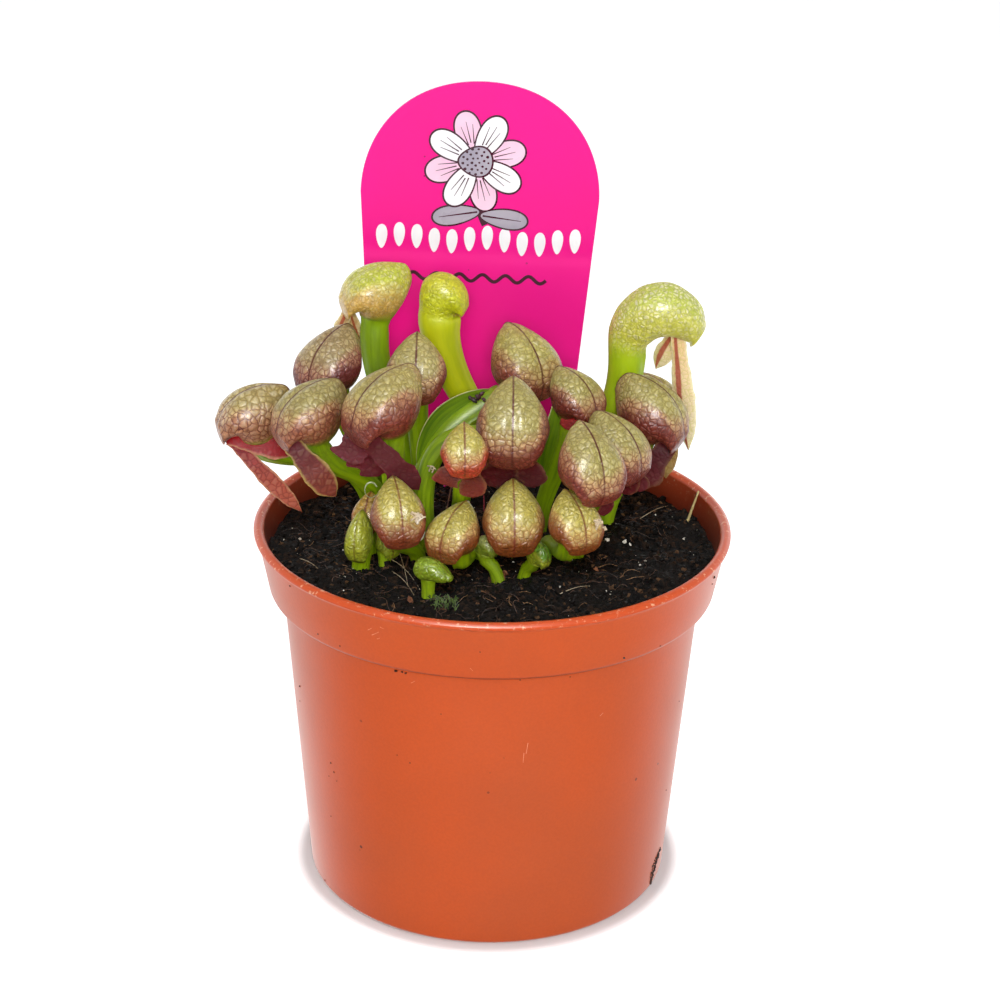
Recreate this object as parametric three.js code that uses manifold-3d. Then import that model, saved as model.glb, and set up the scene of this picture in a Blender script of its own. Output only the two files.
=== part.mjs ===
// A potted pitcher plant: hooded leaves standing in soil, in a tapered plastic pot with a plant label.
// Millimetres, +Z up. The origin is the centre of the pot's underside, and -Y is the plant's front.
import * as THREE from 'three';
import Module from 'manifold-3d';
import { mergeVertices } from 'three/addons/utils/BufferGeometryUtils.js';

const wasm = await Module();
wasm.setup();

// Driving dimensions
const POT = {
  height: 95.6,
  lipRadius: 60,
  lipHeight: 2.2,
  lipWidth: 2.6,
  corner: 0.8,
  bandTopRadius: 59,
  bandFootRadius: 56.4,
  bandFoot: 79.2,
  wallTopRadius: 52.9,
  footRadius: 46.6,
  wall: 1.3,
  floorTop: 3,
  grooveHeight: 1.4,
  grooveSlope: 1.4,
  grooveInner: 18,
  grooveOuter: 37,
  drainRadius: 3.6,
  drainCount: 8,
  drainSides: 8,
  facets: 36,
};
const SOIL = {
  level: 88.6,
  mound: 1.6,
  levelAt: 0.4,
  roughness: 0.7,
  clearance: 0.35,
  bottom: 3.4,
  rimGrowth: 0.8,
};
const LABEL = {
  foot: new THREE.Vector3(-7, 37.5, 76),
  lean: 5,
  turn: 1.5,
  thickness: 1,
  width: 61.5,
  waistWidth: 55,
  crownWidth: 41,
  stakeWidth: 13,
  tipWidth: 5,
  height: 120.5,
  sideTop: 91,
  sideFoot: 46,
  shoulder: 29,
  stakeTop: 17,
  tipHeight: 7,
  clearance: 0.3,
  curveSteps: 6,
};
const STEM = { clearance: 0.32, depth: 8, collar: 2.5, holeSides: 8 };
const RHIZOME = { level: 77, radius: 2.8, endRadius: 1.7, steps: 8, clearance: 0.35, sides: 8 };
const RUNNER = { startRadius: 2.2, endRadius: 1.6 };
const ROOT = { startRadius: 1.1, endRadius: 0.6, depth: 50, spread: 14, turn: 2.4, pull: 0.25, sides: 5 };

// The creeping stem in the soil, from left to right, and the runners that carry the leaves in front.
const RHIZOME_PATH = [[-32, 11], [-17, 10], [2, 9], [20, 5], [36, 11]];
const RUNNERS = [[[-20, 9], [-21, -15]], [[0, 8], [-3, -16]], [[17, 5], [15, -13]]];
const ROOT_PLACES = [0.09, 0.28, 0.47, 0.66, 0.87];
const ROOT_STEPS = [0, 0.35, 0.7, 1];

// Each leaf: where its tube leaves the soil, the middle of its hood, the way the hood faces (degrees from the
// front towards +X) and nods, the hood's length and width, and the tube's radius at the hood and at the soil.
// Where the tube doesn't run straight to its hood, via holds the two points that its curve bends towards.
// A tail lobe is the place of its tip from its root at the mouth, ahead, to the hood's right and up, and its
// width. The tail's face is the way its flat sides look, in the same directions.
const LEAVES = [
  { name: 'pitcher_tall_left', hood: 'round', foot: [-19, 22], head: [-30.5, 20, 149.5], facing: -74, nod: -8,
    length: 16.5, width: 16, neck: 3.6, stem: 2.8,
    tail: { face: [0.2, 1, 0], lobes: [[3, -2.1, -9.8, 3.6], [-4.2, -2.1, -12.5, 3.2]] } },
  { name: 'pitcher_tall_middle', hood: 'bud', foot: [6, 24], head: [-13.5, 20, 148.5], facing: 78, nod: 0,
    length: 11.5, width: 10.4, neck: 5.2, stem: 3 },
  { name: 'pitcher_tall_right', hood: 'tall', foot: [22, 19], head: [40.5, 15, 145], facing: 84, nod: 0,
    length: 23, width: 15.6, neck: 4.5, stem: 3.3,
    tail: { face: [0.2, 1, 0], lobes: [[-5.2, 1.3, -11.5, 5], [4.2, -0.4, -31, 6]] } },
  { name: 'pitcher_01', hood: 'round', foot: [-28, 19], head: [-41, 10, 134], facing: -40, nod: 6,
    length: 17.5, width: 16, neck: 3, stem: 2.2 },
  { name: 'pitcher_02', hood: 'round', foot: [-30, 11], head: [-60, 2, 123], facing: -74, nod: -8,
    length: 17.5, width: 15.5, neck: 3, stem: 2.2,
    via: [[-33, 10, 114], [-50, 4, 107]],
    tail: { face: [0.5, 1, 0.4], lobes: [[-17.4, 4.2, -20.4, 4.6], [-17.3, 3.1, -4, 6.6]] } },
  { name: 'pitcher_03', hood: 'round', foot: [-27, 4], head: [-45, -10, 128], facing: -62, nod: 0,
    length: 18, width: 15.5, neck: 3.2, stem: 2.2,
    via: [[-29, 3, 112], [-40, -6, 108]],
    tail: { face: [0.5, 1, 0.3], lobes: [[-10.3, 3.6, -14.9, 7.2], [-10.7, -0.7, -7.6, 4]] } },
  { name: 'pitcher_04', hood: 'round', foot: [-24, -2], head: [-26.5, -16, 133], facing: -54, nod: 2,
    length: 19.5, width: 17, neck: 3.4, stem: 2.3,
    tail: { face: [0.8, 0.8, 0.2], lobes: [[1.1, -1.6, -8.5, 8.5], [-6, -0.2, -12.8, 11], [-13.8, 1.8, -16, 7.5]] } },
  { name: 'pitcher_05', hood: 'round', foot: [-18, 14], head: [-19.5, 6, 134], facing: 0, nod: 10,
    length: 15.5, width: 14.5, neck: 3, stem: 2.2 },
  { name: 'pitcher_06', hood: 'round', foot: [-19, 4], head: [7, 12.5, 134], facing: 36, nod: 4,
    length: 18, width: 17, neck: 3.4, stem: 2.3,
    via: [[-20, 3, 113], [-12, 7, 119]] },
  { name: 'pitcher_07', hood: 'round', foot: [-16, -5], head: [4.5, -14, 128], facing: 0, nod: 13,
    length: 19, width: 17, neck: 3.4, stem: 2.3,
    via: [[-20, -4, 118], [-11, -2, 123]],
    tail: { lobes: [[-6, 0.2, -10.2, 8], [-5, 3.5, -9.6, 8]] } },
  { name: 'pitcher_08', hood: 'round', foot: [12, 11], head: [20, 0.5, 129.5], facing: 48, nod: 2,
    length: 14, width: 13, neck: 2.8, stem: 2.1,
    tail: { face: [0.67, -0.74, 0], lobes: [[-5.9, -2.4, -2.1, 4]] } },
  { name: 'pitcher_09', hood: 'round', foot: [22, 8], head: [39.5, 6, 123.5], facing: 66, nod: 8,
    length: 19, width: 15.5, neck: 3.4, stem: 2.3,
    tail: { face: [0.4, -0.9, 0.1], lobes: [[-8.4, -1.9, -13.1, 8], [-5.6, 1.6, -9, 5]] } },
  { name: 'pitcher_10', hood: 'round', foot: [17, 3], head: [30, -11.5, 121], facing: 52, nod: 8,
    length: 16.5, width: 15, neck: 3.2, stem: 2.2,
    tail: { face: [0.6, -0.8, 0.1], lobes: [[-4.6, 0.7, -7, 6], [-0.4, 3, -6.2, 5]] } },
  { name: 'pitcher_11', hood: 'round', foot: [21, -5], head: [23, -25.5, 122.5], facing: 26, nod: 12,
    length: 17.5, width: 15.5, neck: 3.2, stem: 2.2,
    tail: { lobes: [[-3.6, 2.1, -7.3, 4.4]] } },
  { name: 'pitcher_12', hood: 'round', foot: [-9, 0], head: [-7, -25, 125], facing: 3, nod: 8,
    length: 11.4, width: 11, neck: 2.6, stem: 2,
    tail: { lobes: [[-2.3, -4.2, -4.5, 7], [-4, 0.9, -8.9, 7]] } },
  { name: 'pitcher_13', hood: 'round', foot: [-18, -12], head: [-23, -25, 108.5], facing: 14, nod: 10,
    length: 15, width: 12.8, neck: 2.8, stem: 2,
    tail: { lobes: [[-1.6, 4.6, 1.5, 2.8]] } },
  { name: 'pitcher_14', hood: 'round', foot: [-3, -8], head: [-9, -27, 104.5], facing: -32, nod: 4,
    length: 13.5, width: 12.5, neck: 2.8, stem: 2 },
  { name: 'pitcher_15', hood: 'round', foot: [4, -2], head: [5, -24.5, 107.5], facing: 3, nod: 10,
    length: 16, width: 14.5, neck: 2.9, stem: 2 },
  { name: 'pitcher_16', hood: 'round', foot: [13, -6], head: [19.5, -30, 109], facing: 28, nod: 8,
    length: 13.6, width: 12.6, neck: 2.7, stem: 2 },
  { name: 'pitcher_17', hood: 'round', foot: [29, 16], head: [41, 22.5, 121.5], facing: 60, nod: 0,
    length: 12, width: 11, neck: 2.7, stem: 2.2,
    tail: { face: [0.5, -0.87, 0], lobes: [[-0.8, 0.9, -19.5, 5.4]] } },
  { name: 'pitcher_18', hood: 'round', foot: [-30.5, -6], head: [-31, -8, 100.5], facing: -10, nod: 4,
    length: 9.5, width: 7.5, neck: 2, stem: 1.6 },
  { name: 'pitcher_19', hood: 'round', foot: [-26.6, -13.5], head: [-26, -14, 95.5], facing: 30, nod: 6,
    length: 7.2, width: 5.7, neck: 2, stem: 1.7 },
  { name: 'young_01', hood: 'round', foot: [-32.4, -14.6], head: [-32.5, -19, 99], facing: -16, nod: 34,
    length: 11, width: 6.5, neck: 2.4, stem: 2.3 },
  { name: 'young_02', hood: 'pod', foot: [-15.3, -30.6], head: [-14, -31.5, 96], facing: 62, nod: 4,
    length: 8.8, width: 6, neck: 1.9, stem: 1.6 },
  { name: 'young_03', hood: 'bud', foot: [1.4, -20.2], head: [-1.5, -20, 97.5], facing: 50, nod: 0,
    length: 5.5, width: 4.4, neck: 1.9, stem: 1.6 },
  { name: 'young_04', hood: 'bud', foot: [8, -19], head: [11.5, -23, 97], facing: 45, nod: 20,
    length: 6, width: 4.4, neck: 1.9, stem: 1.5 },
];

// Hood shapes, in fractions of the hood's length ahead of and above the neck's middle. The rings run from the
// neck over the dome to the front lip. Each has its place on the back line and on the belly line, its half
// width in fractions of the widest, how far it narrows towards the back line, and the height of the keel: a
// ridge at the back that becomes a crease in front.
const HOODS = {
  round: {
    middle: [0.09, 0.46],
    lip: [0.52, 0.03],
    tailRoot: [0.42, 0.05],
    rings: [
      { back: [-0.3, 0.16], belly: [0.25, 0.04], half: 0.64, narrow: 0.15, keel: 0.01 },
      { back: [-0.41, 0.42], belly: [0.29, 0.1], half: 0.84, narrow: 0.3, keel: 0.02 },
      { back: [-0.43, 0.68], belly: [0.32, 0.13], half: 0.93, narrow: 0.42, keel: 0.03 },
      { back: [-0.32, 0.86], belly: [0.35, 0.14], half: 0.97, narrow: 0.42, keel: 0.02 },
      { back: [-0.04, 0.89], belly: [0.38, 0.13], half: 1, narrow: 0.3, keel: -0.02 },
      { back: [0.26, 0.79], belly: [0.42, 0.1], half: 0.97, narrow: 0.12, keel: -0.04 },
      { back: [0.5, 0.56], belly: [0.45, 0.06], half: 0.88, narrow: 0, keel: -0.04 },
      { back: [0.6, 0.28], belly: [0.47, 0.02], half: 0.68, narrow: 0, keel: -0.03 },
    ],
  },
  tall: {
    middle: [0.33, 0.46],
    lip: [0.74, 0.19],
    tailRoot: [0.55, 0.27],
    rings: [
      { back: [-0.2, 0.12], belly: [0.2, 0.05], half: 0.62, narrow: 0, keel: 0 },
      { back: [-0.185, 0.3], belly: [0.22, 0.13], half: 0.68, narrow: 0.05, keel: 0.01 },
      { back: [-0.11, 0.51], belly: [0.28, 0.2], half: 0.8, narrow: 0.1, keel: 0.015 },
      { back: [0.03, 0.7], belly: [0.35, 0.25], half: 0.92, narrow: 0.1, keel: 0.015 },
      { back: [0.22, 0.82], belly: [0.43, 0.27], half: 1, narrow: 0.05, keel: 0.01 },
      { back: [0.44, 0.85], belly: [0.51, 0.27], half: 0.98, narrow: 0, keel: 0 },
      { back: [0.64, 0.76], belly: [0.58, 0.25], half: 0.87, narrow: 0, keel: 0 },
      { back: [0.8, 0.6], belly: [0.64, 0.22], half: 0.74, narrow: 0, keel: 0 },
      { back: [0.85, 0.38], belly: [0.69, 0.2], half: 0.52, narrow: 0, keel: 0 },
    ],
  },
  bud: {
    middle: [0.08, 0.5],
    lip: [0.58, 0.1],
    rings: [
      { back: [-0.43, 0.2], belly: [0.4, 0.03], half: 0.94, narrow: 0, keel: 0 },
      { back: [-0.42, 0.5], belly: [0.38, 0.08], half: 0.98, narrow: 0, keel: 0 },
      { back: [-0.33, 0.78], belly: [0.38, 0.1], half: 1, narrow: 0, keel: 0 },
      { back: [-0.08, 0.97], belly: [0.4, 0.11], half: 1, narrow: 0, keel: 0 },
      { back: [0.2, 0.96], belly: [0.43, 0.11], half: 0.97, narrow: 0, keel: 0 },
      { back: [0.46, 0.8], belly: [0.46, 0.1], half: 0.9, narrow: 0, keel: 0 },
      { back: [0.62, 0.52], belly: [0.49, 0.08], half: 0.78, narrow: 0, keel: 0 },
      { back: [0.65, 0.28], belly: [0.52, 0.05], half: 0.6, narrow: 0, keel: 0 },
    ],
  },
  pod: {
    middle: [0.14, 0.3],
    lip: [0.74, 0.2],
    rings: [
      { back: [-0.44, 0.18], belly: [0.14, 0], half: 0.85, narrow: 0, keel: 0 },
      { back: [-0.4, 0.45], belly: [0.2, 0.02], half: 0.97, narrow: 0, keel: 0 },
      { back: [-0.14, 0.62], belly: [0.28, 0.02], half: 1, narrow: 0, keel: 0 },
      { back: [0.2, 0.6], belly: [0.4, 0.03], half: 0.96, narrow: 0, keel: 0 },
      { back: [0.48, 0.46], belly: [0.54, 0.06], half: 0.76, narrow: 0, keel: 0 },
      { back: [0.66, 0.32], belly: [0.64, 0.12], half: 0.45, narrow: 0, keel: 0 },
    ],
  },
};
const RING_ANGLES = [0, 14, 48, 92, 138, 180, 222, 268, 312, 346].map(THREE.MathUtils.degToRad);
const TUBE_STEPS = [0, 0.28, 0.54, 0.78];
const LOBE_STEPS = [0, 0.25, 0.5, 0.72, 0.88, 1];
const LOBE_WIDTHS = [0.62, 0.66, 0.88, 1, 0.76, 0.16];
const LOBE_THICKNESS = 0.9;

const UP = new THREE.Vector3(0, 0, 1);

// Closed solid from a row of rings with the same number of points, each end closed by a middle point.
function ringSolid(rings, firstMiddle, lastMiddle) {
  const count = rings[0].length;
  const positions = rings.flat().concat(firstMiddle, lastMiddle).flatMap((p) => [p.x, p.y, p.z]);
  const first = rings.length * count;
  const index = [];
  for (let i = 0; i < count; i += 1) {
    const next = (i + 1) % count;
    index.push(first, next, i);
    for (let r = 0; r + 1 < rings.length; r += 1) {
      const low = r * count;
      const high = low + count;
      index.push(low + i, low + next, high + next, low + i, high + next, high + i);
    }
    const top = (rings.length - 1) * count;
    index.push(first + 1, top + i, top + next);
  }
  const geometry = new THREE.BufferGeometry();
  geometry.setAttribute('position', new THREE.Float32BufferAttribute(positions, 3));
  geometry.setIndex(index);
  return geometry;
}

function toSolid(geometry) {
  const bare = geometry.clone();
  bare.deleteAttribute('normal');
  bare.deleteAttribute('uv');
  const merged = mergeVertices(bare, 1e-4);
  return new wasm.Manifold(new wasm.Mesh({
    numProp: 3,
    vertProperties: new Float32Array(merged.attributes.position.array),
    triVerts: new Uint32Array(merged.index.array),
  }));
}

function toGeometry(solid) {
  const mesh = solid.getMesh();
  const geometry = new THREE.BufferGeometry();
  geometry.setAttribute('position', new THREE.Float32BufferAttribute(mesh.vertProperties, 3));
  geometry.setIndex([...mesh.triVerts]);
  return geometry;
}

// Tube of round rings about the points of a path, with one radius for each point.
function tubeSolid(points, radii, sides) {
  const rings = points.map((point, i) => {
    const ahead = points[Math.min(i + 1, points.length - 1)];
    const behind = points[Math.max(i - 1, 0)];
    const along = ahead.clone().sub(behind).normalize();
    const across = new THREE.Vector3(0, 1, 0.01).cross(along).normalize();
    const away = along.clone().cross(across);
    return Array.from({ length: sides }, (_, k) => {
      const angle = (k / sides) * 2 * Math.PI;
      return point.clone()
        .addScaledVector(across, radii[i] * Math.cos(angle))
        .addScaledVector(away, radii[i] * Math.sin(angle));
    });
  });
  return toSolid(ringSolid(rings, points[0], points[points.length - 1]));
}

// Pot
function potOutline() {
  const p = POT;
  const bandTop = p.height - p.lipHeight;
  const ledge = p.bandFoot + p.wall;
  const inner = p.lipRadius - p.lipWidth;
  return [
    [0, 0], [p.grooveInner, 0], [p.grooveInner + p.grooveSlope, p.grooveHeight],
    [p.grooveOuter - p.grooveSlope, p.grooveHeight], [p.grooveOuter, 0],
    [p.footRadius - p.corner, 0], [p.footRadius, p.corner],
    [p.wallTopRadius, p.bandFoot], [p.bandFootRadius - p.corner, p.bandFoot],
    [p.bandFootRadius, p.bandFoot + p.corner],
    [p.bandTopRadius, bandTop], [p.lipRadius, bandTop + p.corner], [p.lipRadius, p.height - p.corner],
    [p.lipRadius - p.corner, p.height], [inner + p.corner, p.height], [inner, p.height - p.corner],
    [p.bandFootRadius - p.wall, ledge], [p.wallTopRadius - p.wall, ledge],
    [p.footRadius - p.wall, p.floorTop], [0, p.floorTop],
  ];
}

function makePot() {
  const outline = potOutline().map(([r, z]) => new THREE.Vector2(r, z));
  const shell = new THREE.LatheGeometry(outline, POT.facets).rotateX(Math.PI / 2);
  let pot = toSolid(shell);
  const drainCircle = (POT.grooveInner + POT.grooveOuter) / 2;
  for (let i = 0; i < POT.drainCount; i += 1) {
    const angle = (i + 0.5) * (2 * Math.PI / POT.drainCount);
    const drill = new THREE.CylinderGeometry(
      POT.drainRadius, POT.drainRadius, 2 * POT.floorTop, POT.drainSides)
      .rotateX(Math.PI / 2)
      .translate(drainCircle * Math.cos(angle), drainCircle * Math.sin(angle), POT.floorTop / 2);
    pot = pot.subtract(toSolid(drill));
  }
  return toGeometry(pot);
}

// Leaves
function hoodFrame(leaf) {
  const facing = THREE.MathUtils.degToRad(leaf.facing);
  const nod = THREE.MathUtils.degToRad(leaf.nod);
  const level = new THREE.Vector3(Math.sin(facing), -Math.cos(facing), 0);
  const forward = level.clone().multiplyScalar(Math.cos(nod)).addScaledVector(UP, -Math.sin(nod));
  const up = UP.clone().multiplyScalar(Math.cos(nod)).addScaledVector(level, Math.sin(nod));
  const side = up.clone().cross(forward);
  const [middleAhead, middleAbove] = HOODS[leaf.hood].middle;
  const neck = new THREE.Vector3(...leaf.head)
    .addScaledVector(forward, -middleAhead * leaf.length)
    .addScaledVector(up, -middleAbove * leaf.length);
  const at = (ahead, above, right = 0) => neck.clone()
    .addScaledVector(forward, ahead)
    .addScaledVector(up, above)
    .addScaledVector(side, right);
  return { level, forward, up, side, neck, at };
}

// The tube's middle line: straight through the soil, then one curve that ends square to the hood's neck.
function tubePath(leaf, frame) {
  const ground = new THREE.Vector3(leaf.foot[0], leaf.foot[1], SOIL.level);
  const aim = leaf.via ? new THREE.Vector3(...leaf.via[0]) : frame.neck;
  const rise = aim.clone().sub(ground).normalize().addScaledVector(UP, 1.1).normalize();
  const start = ground.clone().addScaledVector(rise, -STEM.depth);
  const collar = ground.clone().addScaledVector(rise, STEM.collar);
  const reach = frame.neck.distanceTo(collar);
  const [bendLow, bendHigh] = leaf.via?.map((point) => new THREE.Vector3(...point)) ?? [
    collar.clone().addScaledVector(rise, 0.36 * reach),
    frame.neck.clone().addScaledVector(frame.up, -0.34 * reach),
  ];
  return { start, ground, rise, curve: new THREE.CubicBezierCurve3(collar, bendLow, bendHigh, frame.neck) };
}

// One ring of the leaf: an oval from the back point to the belly point, as wide as stated.
function leafRing(back, belly, side, { half, narrow = 0, keel = 0 }) {
  const middle = back.clone().add(belly).multiplyScalar(0.5);
  const spoke = back.clone().sub(belly).multiplyScalar(0.5);
  const outward = spoke.clone().normalize();
  return RING_ANGLES.map((angle, i) => {
    const point = middle.clone()
      .addScaledVector(spoke, Math.cos(angle))
      .addScaledVector(side, -half * Math.sin(angle) * (1 - narrow * Math.cos(angle)));
    return i === 0 ? point.addScaledVector(outward, keel) : point;
  });
}

function tubeRings(leaf, frame) {
  const path = tubePath(leaf, frame);
  const rings = [];
  const addRing = (point, along, radius) => {
    const back = frame.forward.clone().addScaledVector(along, -frame.forward.dot(along)).normalize().negate();
    const side = back.clone().cross(along).normalize();
    rings.push(leafRing(
      point.clone().addScaledVector(back, radius), point.clone().addScaledVector(back, -radius), side,
      { half: radius }));
  };
  addRing(path.start, path.rise, leaf.stem);
  for (const t of TUBE_STEPS) {
    const radius = THREE.MathUtils.lerp(leaf.stem, leaf.neck, t * t);
    addRing(path.curve.getPoint(t), path.curve.getTangent(t), radius);
  }
  return { rings, start: path.start };
}

function lobeSolid(leaf, frame, lobe) {
  const tip = lobe.slice(0, 3);
  const facing = leaf.tail.face ?? [1, 0, 0];
  const towards = (ahead, right, above) => new THREE.Vector3()
    .addScaledVector(frame.level, ahead)
    .addScaledVector(frame.side, right)
    .addScaledVector(UP, above);
  const flat = towards(...facing).normalize();
  const [rootAhead, rootAbove] = HOODS[leaf.hood].tailRoot;
  const root = frame.at(
    rootAhead * leaf.length, rootAbove * leaf.length + 1, 0.12 * Math.sign(tip[1]) * leaf.width);
  const end = root.clone().add(towards(...tip));
  const bend = root.clone().add(towards(0.3 * tip[0], 0.75 * tip[1], 0.3 * tip[2]));
  const curve = new THREE.QuadraticBezierCurve3(root, bend, end);
  const rings = LOBE_STEPS.map((t, i) => {
    const along = curve.getTangent(t);
    const across = along.clone().cross(flat).normalize();
    const normal = across.clone().cross(along).normalize();
    const half = LOBE_WIDTHS[i] * lobe[3] / 2;
    return [[1, 1], [1, -1], [-1, -1], [-1, 1]].map(([a, n]) => curve.getPoint(t)
      .addScaledVector(across, a * half)
      .addScaledVector(normal, n * LOBE_THICKNESS / 2));
  });
  return toSolid(ringSolid(rings, curve.getPoint(0), curve.getPoint(1)));
}

function leafSolid(leaf) {
  const frame = hoodFrame(leaf);
  const { rings, start } = tubeRings(leaf, frame);
  const size = leaf.length;
  rings.push(leafRing(
    frame.at(-leaf.neck, 0), frame.at(leaf.neck, 0), frame.side, { half: leaf.neck }));
  for (const ring of HOODS[leaf.hood].rings) {
    rings.push(leafRing(
      frame.at(ring.back[0] * size, ring.back[1] * size),
      frame.at(ring.belly[0] * size, ring.belly[1] * size),
      frame.side,
      { half: ring.half * leaf.width / 2, narrow: ring.narrow, keel: ring.keel * size }));
  }
  const [lipAhead, lipAbove] = HOODS[leaf.hood].lip;
  let solid = toSolid(ringSolid(rings, start, frame.at(lipAhead * size, lipAbove * size)));
  for (const lobe of leaf.tail?.lobes ?? []) {
    solid = solid.add(lobeSolid(leaf, frame, lobe));
  }
  return solid;
}

// The straight hole in the soil that a leaf's tube stands in, open at the top.
function stemHole(leaf) {
  const { ground, rise, start } = tubePath(leaf, hoodFrame(leaf));
  const radius = (leaf.stem + STEM.clearance) / Math.cos(Math.PI / STEM.holeSides);
  const ends = [start.clone().addScaledVector(rise, -1), ground.clone().addScaledVector(rise, STEM.collar)];
  return tubeSolid(ends, [radius, radius], STEM.holeSides);
}

// Rhizome: a creeping stem with runners and roots, joined in one body, or its bed in the soil when grown
function longer(points, by) {
  const beyond = (end, before) => end.clone().addScaledVector(end.clone().sub(before).normalize(), by);
  return [beyond(points[0], points[1]), ...points.slice(1, -1), beyond(points.at(-1), points.at(-2))];
}

function rhizomeSolid(grow) {
  const at = ([x, y]) => new THREE.Vector3(x, y, RHIZOME.level);
  const run = (points, radii, sides) => tubeSolid(longer(points, grow), radii.map((r) => r + grow), sides);
  const stem = new THREE.CatmullRomCurve3(RHIZOME_PATH.map(at));
  const stemRadii = Array.from({ length: RHIZOME.steps + 1 },
    (_, i) => (i % RHIZOME.steps === 0 ? RHIZOME.endRadius : RHIZOME.radius));
  let solid = run(stem.getPoints(RHIZOME.steps), stemRadii, RHIZOME.sides);
  for (const ends of RUNNERS) {
    solid = solid.add(run(ends.map(at), [RUNNER.startRadius, RUNNER.endRadius], RHIZOME.sides));
  }
  ROOT_PLACES.forEach((share, i) => {
    const top = stem.getPoint(share);
    const points = ROOT_STEPS.map((t) => new THREE.Vector3(
      top.x * (1 - ROOT.pull * t) + ROOT.spread * t * Math.cos(ROOT.turn * i + t),
      top.y + ROOT.spread * t * Math.sin(ROOT.turn * i + t),
      top.z - ROOT.depth * t));
    const radii = ROOT_STEPS.map((t) => THREE.MathUtils.lerp(ROOT.startRadius, ROOT.endRadius, t));
    solid = solid.add(run(points, radii, ROOT.sides));
  });
  return solid;
}

// Label
function labelShape() {
  const l = LABEL;
  const side = new THREE.Path();
  side.moveTo(l.tipWidth / 2, 0);
  side.lineTo(l.stakeWidth / 2, l.tipHeight);
  side.lineTo(l.stakeWidth / 2, l.stakeTop);
  side.bezierCurveTo(
    l.stakeWidth / 2, l.shoulder, l.waistWidth / 2, l.shoulder, l.waistWidth / 2, l.sideFoot);
  side.lineTo(l.width / 2, l.sideTop);
  side.bezierCurveTo(l.width / 2, (l.sideTop + l.height) / 2, l.crownWidth / 2, l.height, 0, l.height);
  const right = side.getPoints(l.curveSteps);
  const left = right.slice(0, -1).reverse().map((p) => new THREE.Vector2(-p.x, p.y));
  return new THREE.Shape([...right, ...left]);
}

function labelGeometry(grow) {
  const options = { depth: LABEL.thickness, bevelEnabled: false };
  return new THREE.ExtrudeGeometry(labelShape(), options)
    .translate(0, 0, -LABEL.thickness / 2)
    .scale(1 + 2 * grow / LABEL.stakeWidth, 1, 1 + 2 * grow / LABEL.thickness)
    .translate(0, -grow, 0)
    .rotateX(Math.PI / 2)
    .rotateY(THREE.MathUtils.degToRad(LABEL.turn))
    .rotateX(-THREE.MathUtils.degToRad(LABEL.lean))
    .translate(LABEL.foot.x, LABEL.foot.y, LABEL.foot.z);
}

// Soil
function soilHeight(x, y) {
  const r = Math.hypot(x, y) / POT.lipRadius;
  const waves = Math.sin(x * 0.21 + 1.3) * Math.cos(y * 0.17 - 0.4) + 0.6 * Math.sin(x * 0.11 - y * 0.26);
  return SOIL.level + SOIL.mound * (SOIL.levelAt - r * r) + SOIL.roughness * waves;
}

function makeSoil(cutters) {
  const clear = SOIL.clearance;
  const wallRadius = (z) => {
    const share = (z - POT.floorTop) / (POT.bandFoot + POT.wall - POT.floorTop);
    return THREE.MathUtils.lerp(POT.footRadius, POT.wallTopRadius, share) - POT.wall - clear;
  };
  const ledge = POT.bandFoot + POT.wall + clear;
  const bandRadius = POT.bandFootRadius - POT.wall - clear;
  const rows = [
    [wallRadius(SOIL.bottom), () => SOIL.bottom],
    [wallRadius(ledge), () => ledge],
    [bandRadius, () => ledge],
    [bandRadius + SOIL.rimGrowth, soilHeight],
    [2 * bandRadius / 3, soilHeight],
    [bandRadius / 3, soilHeight],
  ];
  const rings = rows.map(([radius, height]) => Array.from({ length: POT.facets }, (_, k) => {
    const angle = (k / POT.facets) * 2 * Math.PI;
    const x = radius * Math.cos(angle);
    const y = radius * Math.sin(angle);
    return new THREE.Vector3(x, y, height(x, y));
  }));
  const bottom = new THREE.Vector3(0, 0, SOIL.bottom);
  const top = new THREE.Vector3(0, 0, soilHeight(0, 0));
  const body = ringSolid(rings, bottom, top);
  return cutters.reduce((soil, cutter) => soil.subtract(cutter), toSolid(body));
}

// Materials
function material(color, roughness) {
  return new THREE.MeshStandardMaterial({ color, roughness, metalness: 0 });
}
const MATERIALS = {
  pot: material(0xd05428, 0.42),
  soil: material(0x231a14, 0.95),
  label: material(0xf5148a, 0.35),
  netted: material(0x9a6f52, 0.38),
  green: material(0x8fb028, 0.4),
  rhizome: material(0xb59a78, 0.7),
};

// Assembly
const plant = new THREE.Group();

function addPart(name, geometry, surface) {
  const mesh = new THREE.Mesh(geometry, surface);
  mesh.name = name;
  plant.add(mesh);
}

addPart('pot', makePot(), MATERIALS.pot);
addPart('plant_label', labelGeometry(0), MATERIALS.label);
for (const leaf of LEAVES) {
  const fresh = leaf.name.includes('tall') || leaf.name.includes('young');
  addPart(leaf.name, toGeometry(leafSolid(leaf)), fresh ? MATERIALS.green : MATERIALS.netted);
}
addPart('rhizome', toGeometry(rhizomeSolid(0)), MATERIALS.rhizome);
const labelSlot = toSolid(labelGeometry(LABEL.clearance));
const beds = [...LEAVES.map(stemHole), labelSlot, rhizomeSolid(RHIZOME.clearance)];
addPart('potting_soil', toGeometry(makeSoil(beds)), MATERIALS.soil);

export default plant;
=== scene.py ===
import math

import bpy
import numpy as np
from mathutils import Matrix, Vector


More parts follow.
